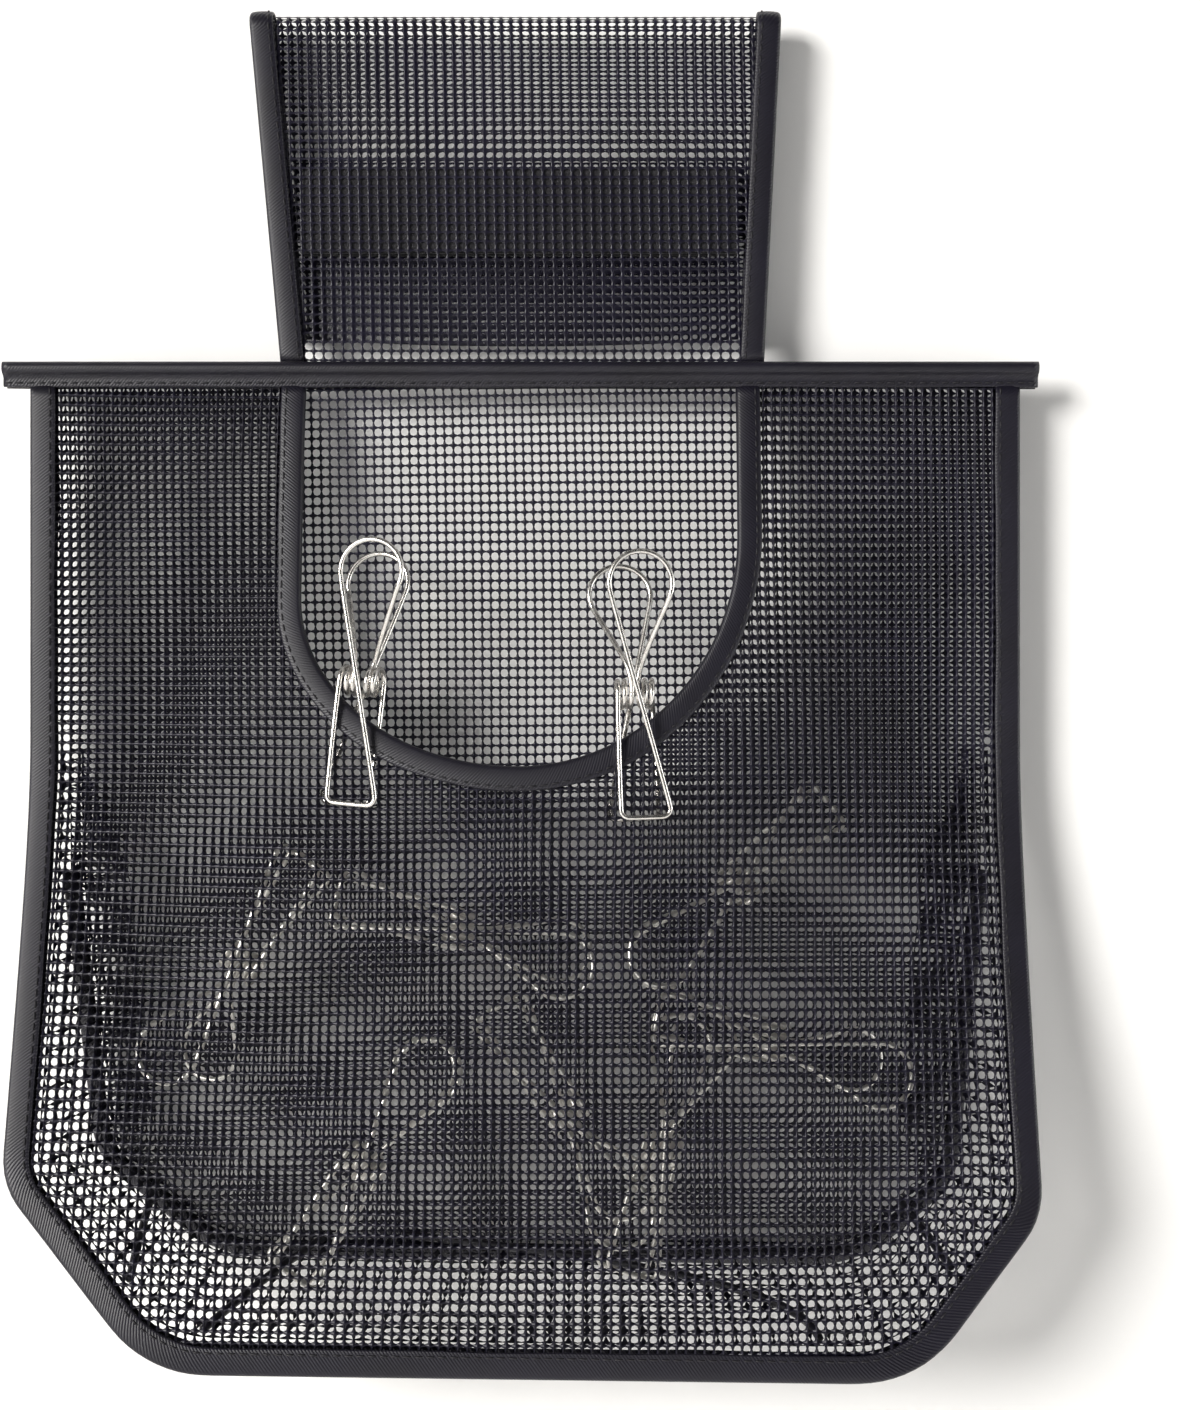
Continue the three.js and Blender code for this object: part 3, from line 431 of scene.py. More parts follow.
def side_stations(sign, chamfer, other_foot, inset, step):
    """Stations down one side, from the top of the panel to the end of the bend at its foot."""
    half = chamfer["half"]
    narrow = half - step
    places = [(half, PANEL_TOP), (half, UNDER_BAND), (half, SPLIT_Z), (narrow, WEDGE_Z)]
    places += [(narrow, SPLIT_Z - GUSSET_START), (half - inset, BAND_Z - chamfer["drop"])]
    p = [np.array([sign * x, z]) for x, z in places]
    foot = chamfer_foot(sign, chamfer, inset)
    runs = [p[0][None]]
    for i, count in enumerate((1, 20, 2, 8)):
        runs.append(along_line(p[i], p[i + 1], count))
    upper = round_corner(p[4], p[5], foot, CORNER_RADIUS, 8)
    lower = round_corner(p[5], foot, other_foot, FOOT_RADIUS, 8)
    runs += [along_line(p[4], upper[0], 16), upper[1:], along_line(upper[-1], lower[0], 8), lower[1:]]
    return np.concatenate(runs)


def outline(inset, step):
    """Outline of a panel that lies in by a step below the split and by an inset at its foot."""
    left_foot = chamfer_foot(-1, LEFT_CHAMFER, inset)
    right_foot = chamfer_foot(1, RIGHT_CHAMFER, inset)
    left = side_stations(-1, LEFT_CHAMFER, right_foot, inset, step)
    right = side_stations(1, RIGHT_CHAMFER, left_foot, inset, step)
    return np.concatenate([left, along_line(left[-1], right[-1], 40), right[::-1][1:]])


def scoop_outline(top):
    """Edge of the scoop, down its left side from a height, round its bottom and up its right side."""

    def quarter(straight, start):
        angle = start + np.linspace(0, math.pi / 2, 60)
        z = BAND_Z - straight + (SCOOP_DEPTH - straight) * np.sin(angle)
        return np.stack([SCOOP_HALF * np.cos(angle), z], 1)

    left_z = np.linspace(top, BAND_Z - SCOOP_LEFT_STRAIGHT, 50)
    right_z = np.linspace(BAND_Z - SCOOP_RIGHT_STRAIGHT, top, 40)
    left = np.stack([np.full(len(left_z), -SCOOP_HALF), left_z], 1)
    right = np.stack([np.full(len(right_z), SCOOP_HALF), right_z], 1)
    lower_left = quarter(SCOOP_LEFT_STRAIGHT, math.pi)
    lower_right = quarter(SCOOP_RIGHT_STRAIGHT, 1.5 * math.pi)
    return np.concatenate([left, lower_left[1:], lower_right[1:], right[1:]])


front_path = outline(0, 0)
back_path = outline(BACK_INSET, EDGE_BINDING + GAP)
front_in = inward(front_path)
back_in = inward(back_path)


# Cloth as a net of strands with rounded holes

def midpoints(edges):
    return (edges[:-1] + edges[1:]) / 2


def net(u_edges, v_edges, keep, hole, weave, place):
    """Points, quads and uv of a net on a grid of cells. place takes u, v and lift and gives points.
    The strands along v stand proud, and those across dip between them, as in a woven mesh."""
    strand_lift, cross_lift, hole_sink = weave
    nu, nv = keep.shape
    u = np.sort(np.concatenate([u_edges, midpoints(u_edges)]))
    v = np.sort(np.concatenate([v_edges, midpoints(v_edges)]))
    uu, vv = np.meshgrid(u, v, indexing="ij")
    lift = np.repeat(np.where(np.arange(len(u)) % 2, cross_lift, strand_lift), len(v))
    rim = np.array([(0, 0), (1, 0), (2, 0), (2, 1), (2, 2), (1, 2), (0, 2), (0, 1)])
    offsets = (rim - 1) * np.where((rim != 1).all(1), HOLE_CORNER, 1)[:, None] * hole
    hu = uu[1::2, 1::2, None] + np.diff(u_edges)[:, None, None] * offsets[:, 0]
    hv = vv[1::2, 1::2, None] + np.diff(v_edges)[None, :, None] * offsets[:, 1]
    strands = np.stack([uu.ravel(), vv.ravel(), lift], 1)
    holes = np.stack([hu.ravel(), hv.ravel(), np.full(hu.size, -hole_sink)], 1)
    flat = np.concatenate([strands, holes])
    index = np.arange(uu.size).reshape(uu.shape)
    border = np.stack([index[a::2, b::2][:nu, :nv] for a, b in rim], -1)
    ring = uu.size + np.arange(hu.size).reshape(hu.shape)
    quads = np.stack([border, np.roll(border, -1, -1), np.roll(ring, -1, -1), ring], -1)
    used, quads = np.unique(quads[keep], return_inverse=True)
    flat = flat[used]
    return place(flat[:, 0], flat[:, 1], flat[:, 2]), quads.reshape(-1, 4), flat[:, :2]


def cells(low, high, pitch):
    """Edges of whole cells of about a pitch between two ends."""
    count = int(round((high - low) / pitch))
    return low + (high - low) * np.arange(count + 1) / count


def solid_share(hole):
    """Share of a flat net that isn't hole."""
    return 1 - 4 * HOLE_CORNER * hole**2


def woven(name, nodes, body, pitch, across, down, kept, hole, weave, place):
    """A piece of cloth on those cells of a grid that kept chooses, and their area in square millimetres.
    across and down are the grid's ends."""
    u = cells(*across, pitch[0])
    v = cells(*down, pitch[1])
    uu, vv = np.meshgrid(midpoints(u), midpoints(v), indexing="ij")
    keep = kept(uu.ravel(), vv.ravel()).reshape(uu.shape)
    points, quads, uv = net(u, v, keep, hole, weave, place)
    obj = new_object(name, points, quads, materials=(mesh_finish,), uv=uv)
    dress(obj, nodes, body)
    return obj, keep.sum() * pitch[0] * pitch[1]


# Swept and joined meshes

def strip_quads(index):
    """Quads between neighbouring rows of points that are closed round."""
    nxt = np.roll(index, -1, -1)
    corners = [index[..., :-1, :], nxt[..., :-1, :], nxt[..., 1:, :], index[..., 1:, :]]
    return np.stack(corners, -1).reshape(-1, 4)


def cap(loop, points):
    """Triangles that close the end of a folded section, joining its outer run to its inner run."""
    outer = list(loop[:-INNER_POINTS])
    inner = list(loop[-INNER_POINTS:])[::-1]
    tris = []
    i = j = 0
    while i + 1 < len(outer) or j + 1 < len(inner):
        far_i = i + 1 >= len(outer)
        far_j = j + 1 >= len(inner)
        step_i = math.inf if far_i else np.linalg.norm(points[outer[i + 1]] - points[inner[j]])
        step_j = math.inf if far_j else np.linalg.norm(points[outer[i]] - points[inner[j + 1]])
        if step_i <= step_j:
            tris.append((outer[i], outer[i + 1], inner[j]))
            i += 1
        else:
            tris.append((outer[i], inner[j + 1], inner[j]))
            j += 1
    return tris


def tube(path, radius, sides):
    """Points, quads and triangles of a round wire along a path, its ends domed a little."""
    ahead = unit(np.gradient(path, axis=0))
    start = np.array([0.0, 0.0, 1.0]) if abs(ahead[0][2]) < 0.9 else np.array([1.0, 0.0, 0.0])
    side = unit(np.cross(start, ahead[0]))
    angle = 2 * math.pi * np.arange(sides) / sides
    loops = []
    for i, p in enumerate(path):
        side = unit(side - ahead[i] * (side @ ahead[i]))
        up = np.cross(ahead[i], side)
        ring = np.cos(angle)[:, None] * side + np.sin(angle)[:, None] * up
        if i == 0:
            loops.append(p - ahead[i] * radius * TIP_REACH + ring * radius * TIP_WIDTH)
        loops.append(p + ring * radius)
        if i == len(path) - 1:
            loops.append(p + ahead[i] * radius * TIP_REACH + ring * radius * TIP_WIDTH)
    loops = np.array(loops)
    n = len(loops)
    index = np.arange(n * sides).reshape(n, sides)
    nxt = np.roll(index, -1, 1)
    tips = np.array([loops[0].mean(0), loops[-1].mean(0)])
    points = np.concatenate([loops.reshape(-1, 3), tips])
    tris = [(nxt[0][j], index[0][j], n * sides) for j in range(sides)]
    tris += [(index[-1][j], nxt[-1][j], n * sides + 1) for j in range(sides)]
    return points, strip_quads(index), tris


def joined_object(name, parts, materials):
    """Several meshes as one: each is points, quads, tris, uv or None, and a material's number."""
    points, quads, tris, uv, kinds = zip(*parts)
    starts = np.cumsum([0] + [len(p) for p in points])
    quads = [np.asarray(q, np.int64).reshape(-1, 4) + start for q, start in zip(quads, starts)]
    tris = [np.asarray(t, np.int64).reshape(-1, 3) + start for t, start in zip(tris, starts)]
    uv = [np.zeros((len(p), 2)) if w is None else w for p, w in zip(points, uv)]
    kinds = [np.full(len(f), kind) for faces in (quads, tris) for f, kind in zip(faces, kinds)]
    points, quads, tris, uv, kinds = map(np.concatenate, (points, quads, tris, uv, kinds))
    return new_object(name, points, quads, tris, materials, kinds, uv)


# Tapes sewn over edges

def folded_profile(width, front, rear, puff):
    """Section of a tape folded over an edge: a is in from the cloth's edge, b behind its middle."""
    mouth = width - EDGE
    low, high = -front - EDGE, rear + EDGE
    bend = min(TAPE_BEND, (high - low) / 2 - 0.05)
    legs = np.linspace(mouth - LIP_THICK, bend - EDGE, LEG_POINTS)
    swell = puff * np.sin(np.pi * np.linspace(0.05, 1, LEG_POINTS)) ** 0.7
    angles = np.linspace(0, math.pi / 2, BEND_POINTS)
    outer = [(mouth, low + LIP_THICK), (mouth - LIP_ROUND, low + LIP_ROUND)]
    outer += [(a, low - s) for a, s in zip(legs, swell)]
    for angle in angles[1:]:
        outer.append((bend - EDGE - bend * math.sin(angle), low + bend - bend * math.cos(angle)))
    for angle in angles[:-1]:
        outer.append((bend - EDGE - bend * math.cos(angle), high - bend + bend * math.sin(angle)))
    outer += [(a, high + s) for a, s in zip(legs[::-1], swell[::-1])]
    outer += [(mouth - LIP_ROUND, high - LIP_ROUND), (mouth, high - LIP_THICK)]
    inner = [(mouth - 0.1, rear + GAP), (GAP, rear + GAP), (-GAP, rear), (-GAP, -front)]
    inner += [(GAP, -front - GAP), (mouth - 0.1, -front - GAP)]
    return np.array(outer + inner)


def sweep(points):
    """Quads and uv of a closed section carried along: points is stations by section."""
    n, m = points.shape[:2]
    quads = strip_quads(np.arange(n * m).reshape(n, m))[:, [0, 3, 2, 1]]
    uv = np.broadcast_arrays(lengths(points[:, 0])[:, None], lengths(points[n // 2])[None])
    return quads, np.stack(uv, -1).reshape(-1, 2)


def stitches(anchors, outward):
    """A row of sewn stitches, each a short thread that dips into the tape at both ends."""
    run = lengths(anchors)
    count = int(run[-1] // (STITCH_LENGTH + STITCH_GAP))
    sides = 6
    parts = np.array([0.0, 0.15, 0.5, 0.85, 1.0])
    rise = np.array([-0.9, 0.25, 0.55, 0.25, -0.9]) * STITCH_RADIUS
    thick = np.array([0.55, 0.95, 1.0, 0.95, 0.55]) * STITCH_RADIUS
    starts = (np.arange(count) + 0.5) * (run[-1] / count) - STITCH_LENGTH / 2
    at = starts[:, None] + parts[None] * STITCH_LENGTH
    middle = at_lengths(at, run, anchors)
    out = unit(at_lengths(at, run, np.broadcast_to(outward, anchors.shape)))
    ahead = unit(middle[:, -1:] - middle[:, :1])
    side = np.cross(np.broadcast_to(ahead, out.shape), out)
    angle = 2 * np.pi * np.arange(sides) / sides
    circle = out[..., None, :] * np.cos(angle)[:, None] + side[..., None, :] * np.sin(angle)[:, None]
    points = middle[..., None, :] + (out * rise[:, None])[..., None, :] + circle * thick[:, None, None]
    index = np.arange(points[..., 0].size).reshape(count, len(parts), sides)
    return points.reshape(-1, 3), strip_quads(index)


def tape_object(name, node, loops, stitch_rows, body):
    """A swept tape with its rows of stitches. loops is stations by section in millimetres."""
    quads, uv = sweep(loops)
    points = loops.reshape(-1, 3)
    first = np.arange(loops.shape[1])
    last = first + len(points) - len(first)
    tris = cap(first, points) + [t[::-1] for t in cap(last, points)]
    parts = [(points, quads, tris, uv, 0)]
    for row, outward in stitch_rows:
        parts.append((*stitches(row, outward), [], None, 1))
    dress(joined_object(name, parts, (tape_finish, thread_finish)), [node], body)


# Materials

def add_node(tree, kind, inputs):
    """A new shader node, each of whose inputs is given a value or is linked to another node's output."""
    node = tree.nodes.new("ShaderNode" + kind)
    for key, value in inputs.items():
        if isinstance(value, bpy.types.NodeSocket):
            tree.links.new(value, node.inputs[key])
        else:
            node.inputs[key].default_value = value
    return node


def noise(tree, scale, detail=3.0, stretch=(1, 1, 1)):
    """Noise in the object's own coordinates, which may be stretched."""
    coords = add_node(tree, "TexCoord", {}).outputs["Object"]
    mapping = add_node(tree, "Mapping", {"Vector": coords, "Scale": stretch})
    inputs = {"Vector": mapping.outputs["Vector"], "Scale": scale, "Detail": detail}
    return add_node(tree, "TexNoise", inputs).outputs["Fac"]


def material(name, color, low, high, patches, roughness, metallic=0.0, specular=0.5):
    """A new material whose colour wanders between two tints, with its tree, its shader and the noise.
    patches has the noise's settings."""
    made = bpy.data.materials.new(name)
    made.use_nodes = True
    tree = made.node_tree
    shader = tree.nodes["Principled BSDF"]
    shader.inputs["Base Color"].default_value = (*color, 1)
    shader.inputs["Roughness"].default_value = roughness
    shader.inputs["Metallic"].default_value = metallic
    shader.inputs["Specular IOR Level"].default_value = specular
    source = noise(tree, *patches)
    ramp = add_node(tree, "ValToRGB", {"Fac": source})
    for element, position, tint in zip(ramp.color_ramp.elements, (0.3, 0.7), (low, high)):
        element.position = position
        element.color = (*tint, 1)
    tree.links.new(ramp.outputs["Color"], shader.inputs["Base Color"])
    return made, tree, shader, source


def map_range(tree, source, low, high, start=0.0, end=1.0):
    inputs = {"Value": source, "From Min": start, "From Max": end, "To Min": low, "To Max": high}
    return add_node(tree, "MapRange", inputs).outputs["Result"]


def grained(tree, shader, source, relief, rough=None):
    """Bump of a strength and a distance, and a range of roughness, from one source."""
    node = add_node(tree, "Bump", {"Height": source, "Strength": relief[0], "Distance": relief[1]})
    tree.links.new(node.outputs["Normal"], shader.inputs["Normal"])
    if rough:
        tree.links.new(map_range(tree, source, *rough), shader.inputs["Roughness"])


def mesh_material():
    made, tree, shader, _ = material(
        "coated_mesh", (0.005, 0.0042, 0.0125), (0.0036, 0.0029, 0.0092), (0.0064, 0.0055, 0.0158),
        (34.0,), 0.38, 0.0, 0.3,
    )
    grained(tree, shader, noise(tree, 2600.0, 2.0), (0.2, 0.0001), (0.33, 0.43))
    return made


def tape_material():
    made, tree, shader, _ = material(
        "woven_tape", (0.0044, 0.0036, 0.0088), (0.0034, 0.0027, 0.0068), (0.006, 0.0051, 0.0116),
        (60.0,), 0.42, 0.0, 0.4,
    )
    uv = add_node(tree, "UVMap", {})
    uv.uv_map = "UVMap"
    slant = (0, 0, math.radians(38))
    mapping = add_node(tree, "Mapping", {"Vector": uv.outputs["UV"], "Rotation": slant})
    twill = {"Scale": 0.42, "Distortion": 0.6, "Detail": 1.0, "Detail Scale": 2.0}
    twill = add_node(tree, "TexWave", {"Vector": mapping.outputs["Vector"], **twill})
    twill.wave_type = "BANDS"
    grained(tree, shader, twill.outputs["Fac"], (0.35, 0.00018), (0.48, 0.4))
    return made


def closure_material():
    made, tree, shader, pile = material(
        "closure_pile", (0.010, 0.010, 0.012), (0.006, 0.006, 0.008), (0.022, 0.021, 0.024),
        (1400.0, 4.0), 0.9, 0.0, 0.25,
    )
    grained(tree, shader, pile, (0.8, 0.0004))
    shader.inputs["Sheen Weight"].default_value = 0.15
    return made


def wire_material(name, low, high, smooth, dull):
    made, tree, shader, wear = material(name, high, low, high, (420.0, 4.0), smooth, 1.0)
    grained(tree, shader, wear, (0.08, 0.0001), (smooth, dull))
    return made


mesh_finish = mesh_material()
tape_finish = tape_material()
thread_finish = material(
    "thread", (0.010, 0.0095, 0.012), (0.007, 0.0065, 0.009), (0.018, 0.017, 0.02),
    (3000.0,), 0.5, 0.0, 0.25,
)[0]
closure_finish = closure_material()
wire_finish = wire_material("polished_wire", (0.62, 0.592, 0.556), (0.78, 0.757, 0.725), 0.2, 0.33)
# The loose pegs' wire is painted lighter than the clipped pegs' wire, to make up for the shade of the cloth
# in front of them; it is also rougher.
brightened_loose_finish = wire_material("satin_wire_lightened", (0.8, 0.775, 0.73), (0.92, 0.9, 0.86), 0.38, 0.5)
rod_finish = material(
    "drawn_rod", (0.50, 0.51, 0.52), (0.42, 0.43, 0.44), (0.58, 0.59, 0.60),
    (1.0, 3.0, (8, 900, 900)), 0.4, 1.0,
)[0]


# Body cloth

def ripple(x, z):
    """Small unevenness of slack cloth, as a share of its height."""
    slow = np.sin(x / 31 + 0.6) * np.sin(z / 43 + 1.1)
    quick = 0.5 * np.sin(x / 17 - z / 29 + 2.0) + 0.35 * np.sin(x / 11 + z / 19)
    return (slow + quick) / 1.85


def skewed(u, v, lean):
    """Places of a weave that leans by some degrees and wanders a little."""
    slope = math.radians(lean)
    middle = (HEM_Z + PANEL_TOP) / 2
    x = u + slope * (v - middle) + 0.5 * np.sin(v / 47 + lean) + 0.3 * np.sin(u / 23 + v / 31)
    z = v - slope * u + 0.5 * np.sin(u / 53 - lean) + 0.3 * np.sin(v / 27 - u / 37)
    return x, z


def panel_cloth(name, node, surface, outer, scoop, hole, weave, sway, lean):
    """A panel's cloth inside an outline and outside a scoop, if it has one."""
    reach = BODY_HALF + WEAVE_SPARE
    down = (HEM_Z - WEAVE_SPARE, PANEL_TOP + WEAVE_SPARE)

    def kept(u, v):
        places = np.stack(skewed(u, v, lean), 1)
        found = inside(places, outer)
        if scoop is not None:
            found &= ~inside(places, scoop)
        return found

    def place(u, v, lift):
        x, z = skewed(u, v, lean)
        slack = np.clip(np.abs(opening(x, z)) * SWAY_RISE, 0, 1)
        slack = slack * np.clip(SWAY_FADE - np.abs(x) / SWAY_HALF, 0, 1)
        y = surface(x, z) + sway * slack * ripple(x, z) - lift
        return np.stack([x, y, z], 1)

    obj, area = woven(name, [node], "bag", BODY_PITCH, (-reach, reach), down, kept, hole, weave, place)


scoop_path = scoop_outline(PANEL_TOP + 5)
panel_cloth(
    "front_cloth", "front_panel", front_y, front_path + front_in * FRONT_MARGIN,
    scoop_path - inward(scoop_path) * FRONT_MARGIN, FRONT_HOLE, DEEP_WEAVE, FRONT_SWAY, FRONT_LEAN,
)
panel_cloth(
    "back_cloth", "back_panel", back_y, back_path + back_in * BACK_MARGIN,
    None, BACK_HOLE, FLAT_WEAVE, BACK_SWAY, BACK_LEAN,
)


# Bound edges of the body

def bound_edge(name, node, surface, path, normals, width, front, rear, puff, squeeze=None):
    """A tape folded over an edge, with stitches in front, and behind too if it isn't squeezed there."""
    profile = folded_profile(width, front, rear, puff)
    wobble = waves(lengths(path), MOUTH_WAVES)
    loops = np.zeros((len(path), len(profile), 3))
    for k, (a, b) in enumerate(profile):
        sway = wobble * np.clip(a / width, 0, 1)
        depth = b if squeeze is None or b <= 0 else b * squeeze
        loops[:, k] = beside(surface, path, normals, (a + sway)[:, None], depth)
    inset = width - EDGE - STITCH_INSET
    rows = [(beside(surface, path, normals, inset, -front - EDGE - STITCH_LIFT), FORWARD)]
    if squeeze is None:
        rows.append((beside(surface, path, normals, inset, rear + EDGE + STITCH_LIFT), -FORWARD))
    tape_object(name, node, loops, rows, "bag")


below_lip = front_path[front_path[:, 1] < BAND_LOW]
tuck = np.array([0.0, BAND_LIP + LIP_TUCK])
edge_ends = [below_lip[i] * np.array([1.0, 0.0]) + tuck for i in (0, -1)]
edge_path = resample(np.concatenate([edge_ends[:1], below_lip, edge_ends[1:]]), EDGE_STEP)
bound_edge(
    "front_edge_tape", "front_edge_binding", front_y, edge_path, inward(edge_path),
    EDGE_TAPE, CLOTH / 2, LAYER + CLOTH / 2, FRONT_PUFF,
)
rear_path = resample(back_path[back_path[:, 1] < SPLIT_Z - GUSSET_START + 0.1], EDGE_STEP)
bound_edge(
    "back_edge_tape", "back_edge_binding", back_y, rear_path, inward(rear_path),
    BACK_BINDING, LAYER + CLOTH / 2, CLOTH / 2, BACK_PUFF,
)
lip_path = resample(scoop_outline(BAND_LIP + LIP_TUCK), SOFT_STEP)
# The scoop's tape is pressed flat behind where it runs under the band
lip_squeeze = 0.3 + 0.7 * np.clip((BAND_LIP - 2 - lip_path[:, 1]) / 9, 0, 1)
bound_edge(
    "scoop_tape", "scoop_binding", front_y, lip_path, -inward(lip_path),
    SCOOP_TAPE, CLOTH / 2, CLOTH / 2, SOFT_PUFF, lip_squeeze,
)


# Top band: a tape rolled over the rod and sewn down along its lower lip

def band_profile():
    """Section of the band: depth and height, up the front, over the rod and down the back."""
    cloth_front = -CLOTH / 2 - GAP
    cloth_back = LAYER + CLOTH / 2 + GAP
    low, high = BAND_LIP, BAND_TOP
    roll = (cloth_front - ROD_DIAMETER / 2 - 0.15, high - 1.75)
    radius = ROD_DIAMETER / 2 + TAPE + 0.1
    outer = [(cloth_front - TAPE, low + 0.1), (cloth_front - TAPE - 0.12, low + 0.5)]
    outer += [(cloth_front - TAPE - 0.16, low + 1.6), (cloth_front - TAPE - 0.05, low + 2.6)]
    for angle in np.radians(np.linspace(250, 82, 12)):
        reach = radius if angle < math.radians(215) else radius + 0.12
        outer.append((roll[0] + reach * math.cos(angle), roll[1] + reach * math.sin(angle)))
    outer += [(cloth_front + 0.9, high - 0.05), (cloth_back - 0.2, high - 0.1)]
    outer += [(cloth_back + TAPE - 0.15, high - 0.5), (cloth_back + TAPE, high - 1.2)]
    outer += [(cloth_back + TAPE, low + 2.0), (cloth_back + TAPE - 0.05, low + 0.2)]
    inner = [(cloth_back, low + 0.1), (cloth_back, high - TAPE - 0.2)]
    inner += [(cloth_front, high - TAPE - 0.2), (cloth_front - ROD_DIAMETER - 0.25, high - 1.5)]
    inner += [(cloth_front - 0.1, low + 3.2), (cloth_front, low + 0.1)]
    return np.array(outer + inner)


def band_object():
    profile = band_profile()
    x = np.linspace(-BAND_WIDTH / 2, BAND_WIDTH / 2, BAND_STATIONS)
    loops = np.zeros((len(x), len(profile), 3))
    loops[..., 0] = x[:, None]
    loops[..., 1] = profile[:, 0]
    below = np.clip((BAND_Z - profile[:, 1]) / 5, 0, 1)
    loops[..., 2] = profile[:, 1] + waves(x, BAND_WAVES)[:, None] * below
    seam_y = np.full(len(x), -CLOTH / 2 - GAP - TAPE - 0.12)
    seam = np.stack([x, seam_y, np.full(len(x), BAND_LIP + 1.3)], 1)
    tape_object("band_tape", "top_band", loops, [(seam, FORWARD)], "bag")


band_object()
frame["nodes"]["band_rod"].data.materials.clear()
frame["nodes"]["band_rod"].data.materials.append(rod_finish)


# Flap, fold and tail

def flap_at(z, base, top):
    """A size of the flap at a height, between those at its base and at its top."""
    return base + (top - base) * np.minimum(1, (z - BAND_Z) / FLAP_RISE)


def flap_half(z):
    return flap_at(z, FLAP_BASE_WIDTH, FLAP_TOP_WIDTH) / 2


def flap_line(s):
    """The flap's middle and its outward direction, at a length s up from its foot."""
    angle = np.clip((s - FLAP_RUN) / FOLD_RADIUS, 0, math.pi)
    past = np.maximum(s - FLAP_RUN - FOLD_RUN, 0)
    y = FOLD_RADIUS - FOLD_RADIUS * np.cos(angle)
    z = np.where(s < FLAP_RUN, BAND_LOW + s, FOLD_Z + FOLD_RADIUS * np.sin(angle) - past)
    out_y = -np.cos(angle)
    out_z = np.where(s < FLAP_RUN, 0, np.sin(angle)) * (past <= 0)
    return y, z, out_y, out_z


def flap_points(x, s, away):
    """Points of the flap at a distance x from its middle, a length s up it, and some way outward.
    The tail's end stands up towards its corners."""
    y, z, out_y, out_z = flap_line(s)
    near_end = np.clip((s - FLAP_RUN - FOLD_RUN - TAIL_RUN + CURL_RUN) / CURL_RUN, 0, 1)
    curl = TAIL_CURL * (x / FLAP_BASE_WIDTH * 2) ** 2 * near_end
    x_middle = flap_at(z, FLAP_BASE_SHIFT, FLAP_TOP_SHIFT)
    return np.stack([x + x_middle, y + out_y * away, z + out_z * away + curl], 1)


def flap_net(name, node, body, low, high, hole, back=0.0, margin=FLAP_MARGIN):
    """A length of the flap's cloth, narrowed where its foot goes into the scoop."""
    half = FLAP_TOP_WIDTH / 2

    def kept(x, s):
        z = flap_line(s)[1]
        limit = flap_half(z) - EDGE - margin
        limit = np.where(z < PANEL_TOP + 1, np.minimum(limit, SCOOP_HALF - 2.0), limit)
        return np.abs(x) < limit

    def place(x, s, lift):
        return flap_points(x, s, lift - back)

    obj, area = woven(
        name, [node], body, FLAP_PITCH, (-half, half), (low, high), kept, hole, FLAT_WEAVE, place
    )
    area = area * MM * MM * solid_share(hole)


def flap_binding(name, node, body, sign, low, high):
    """A side tape of the flap or the tail, between two lengths up from the flap's foot."""
    profile = folded_profile(FLAP_TAPE, CLOTH / 2, CLOTH / 2, SOFT_PUFF)
    fold = np.linspace(FLAP_RUN, TAIL_TOP, FOLD_STATIONS)
    s = np.unique(np.concatenate([np.arange(low, high, SOFT_STEP), fold, [high]]))
    s = s[(s >= low) & (s <= high)]
    y, z, out_y, out_z = flap_line(s)
    edge = flap_half(z) - EDGE
    loops = np.stack([flap_points(sign * (edge - a), s, b) for a, b in profile], 1)
    if sign > 0:
        loops = loops[::-1]
    inner = sign * (edge - (FLAP_TAPE - EDGE - STITCH_INSET))
    out = np.stack([np.zeros(len(s)), out_y, out_z], 1)
    lift = CLOTH / 2 + EDGE + STITCH_LIFT
    rows = [(flap_points(inner, s, b), out * np.sign(b)) for b in (-lift, lift)]
    tape_object(name, node, loops, rows, body)


flap_foot = BAND_LIP + 0.2 - BAND_LOW
facing_top = TAIL_FOOT - FACING_HEIGHT
flap_net("flap_cloth", "hanging_flap", "bag", flap_foot, TAIL_TOP, BACK_HOLE)
flap_net("tail_cloth", "flap_tail", FOLD, TAIL_TOP, TAIL_FOOT, BACK_HOLE)
flap_net(
    "facing_cloth", "tail_facing", "tail", facing_top, TAIL_FOOT, FACING_HOLE,
    LAYER, FACING_MARGIN,
)
above_band = BAND_TOP + GAP - BAND_LOW
for side, sign in (("left", -1), ("right", 1)):
    flap_binding(f"flap_{side}_tape", f"flap_{side}_binding", "bag", sign, above_band, TAIL_TOP)
    flap_binding(f"tail_{side}_tape", f"tail_{side}_binding", FOLD, sign, TAIL_TOP, TAIL_FOOT)


# Hook and loop strips

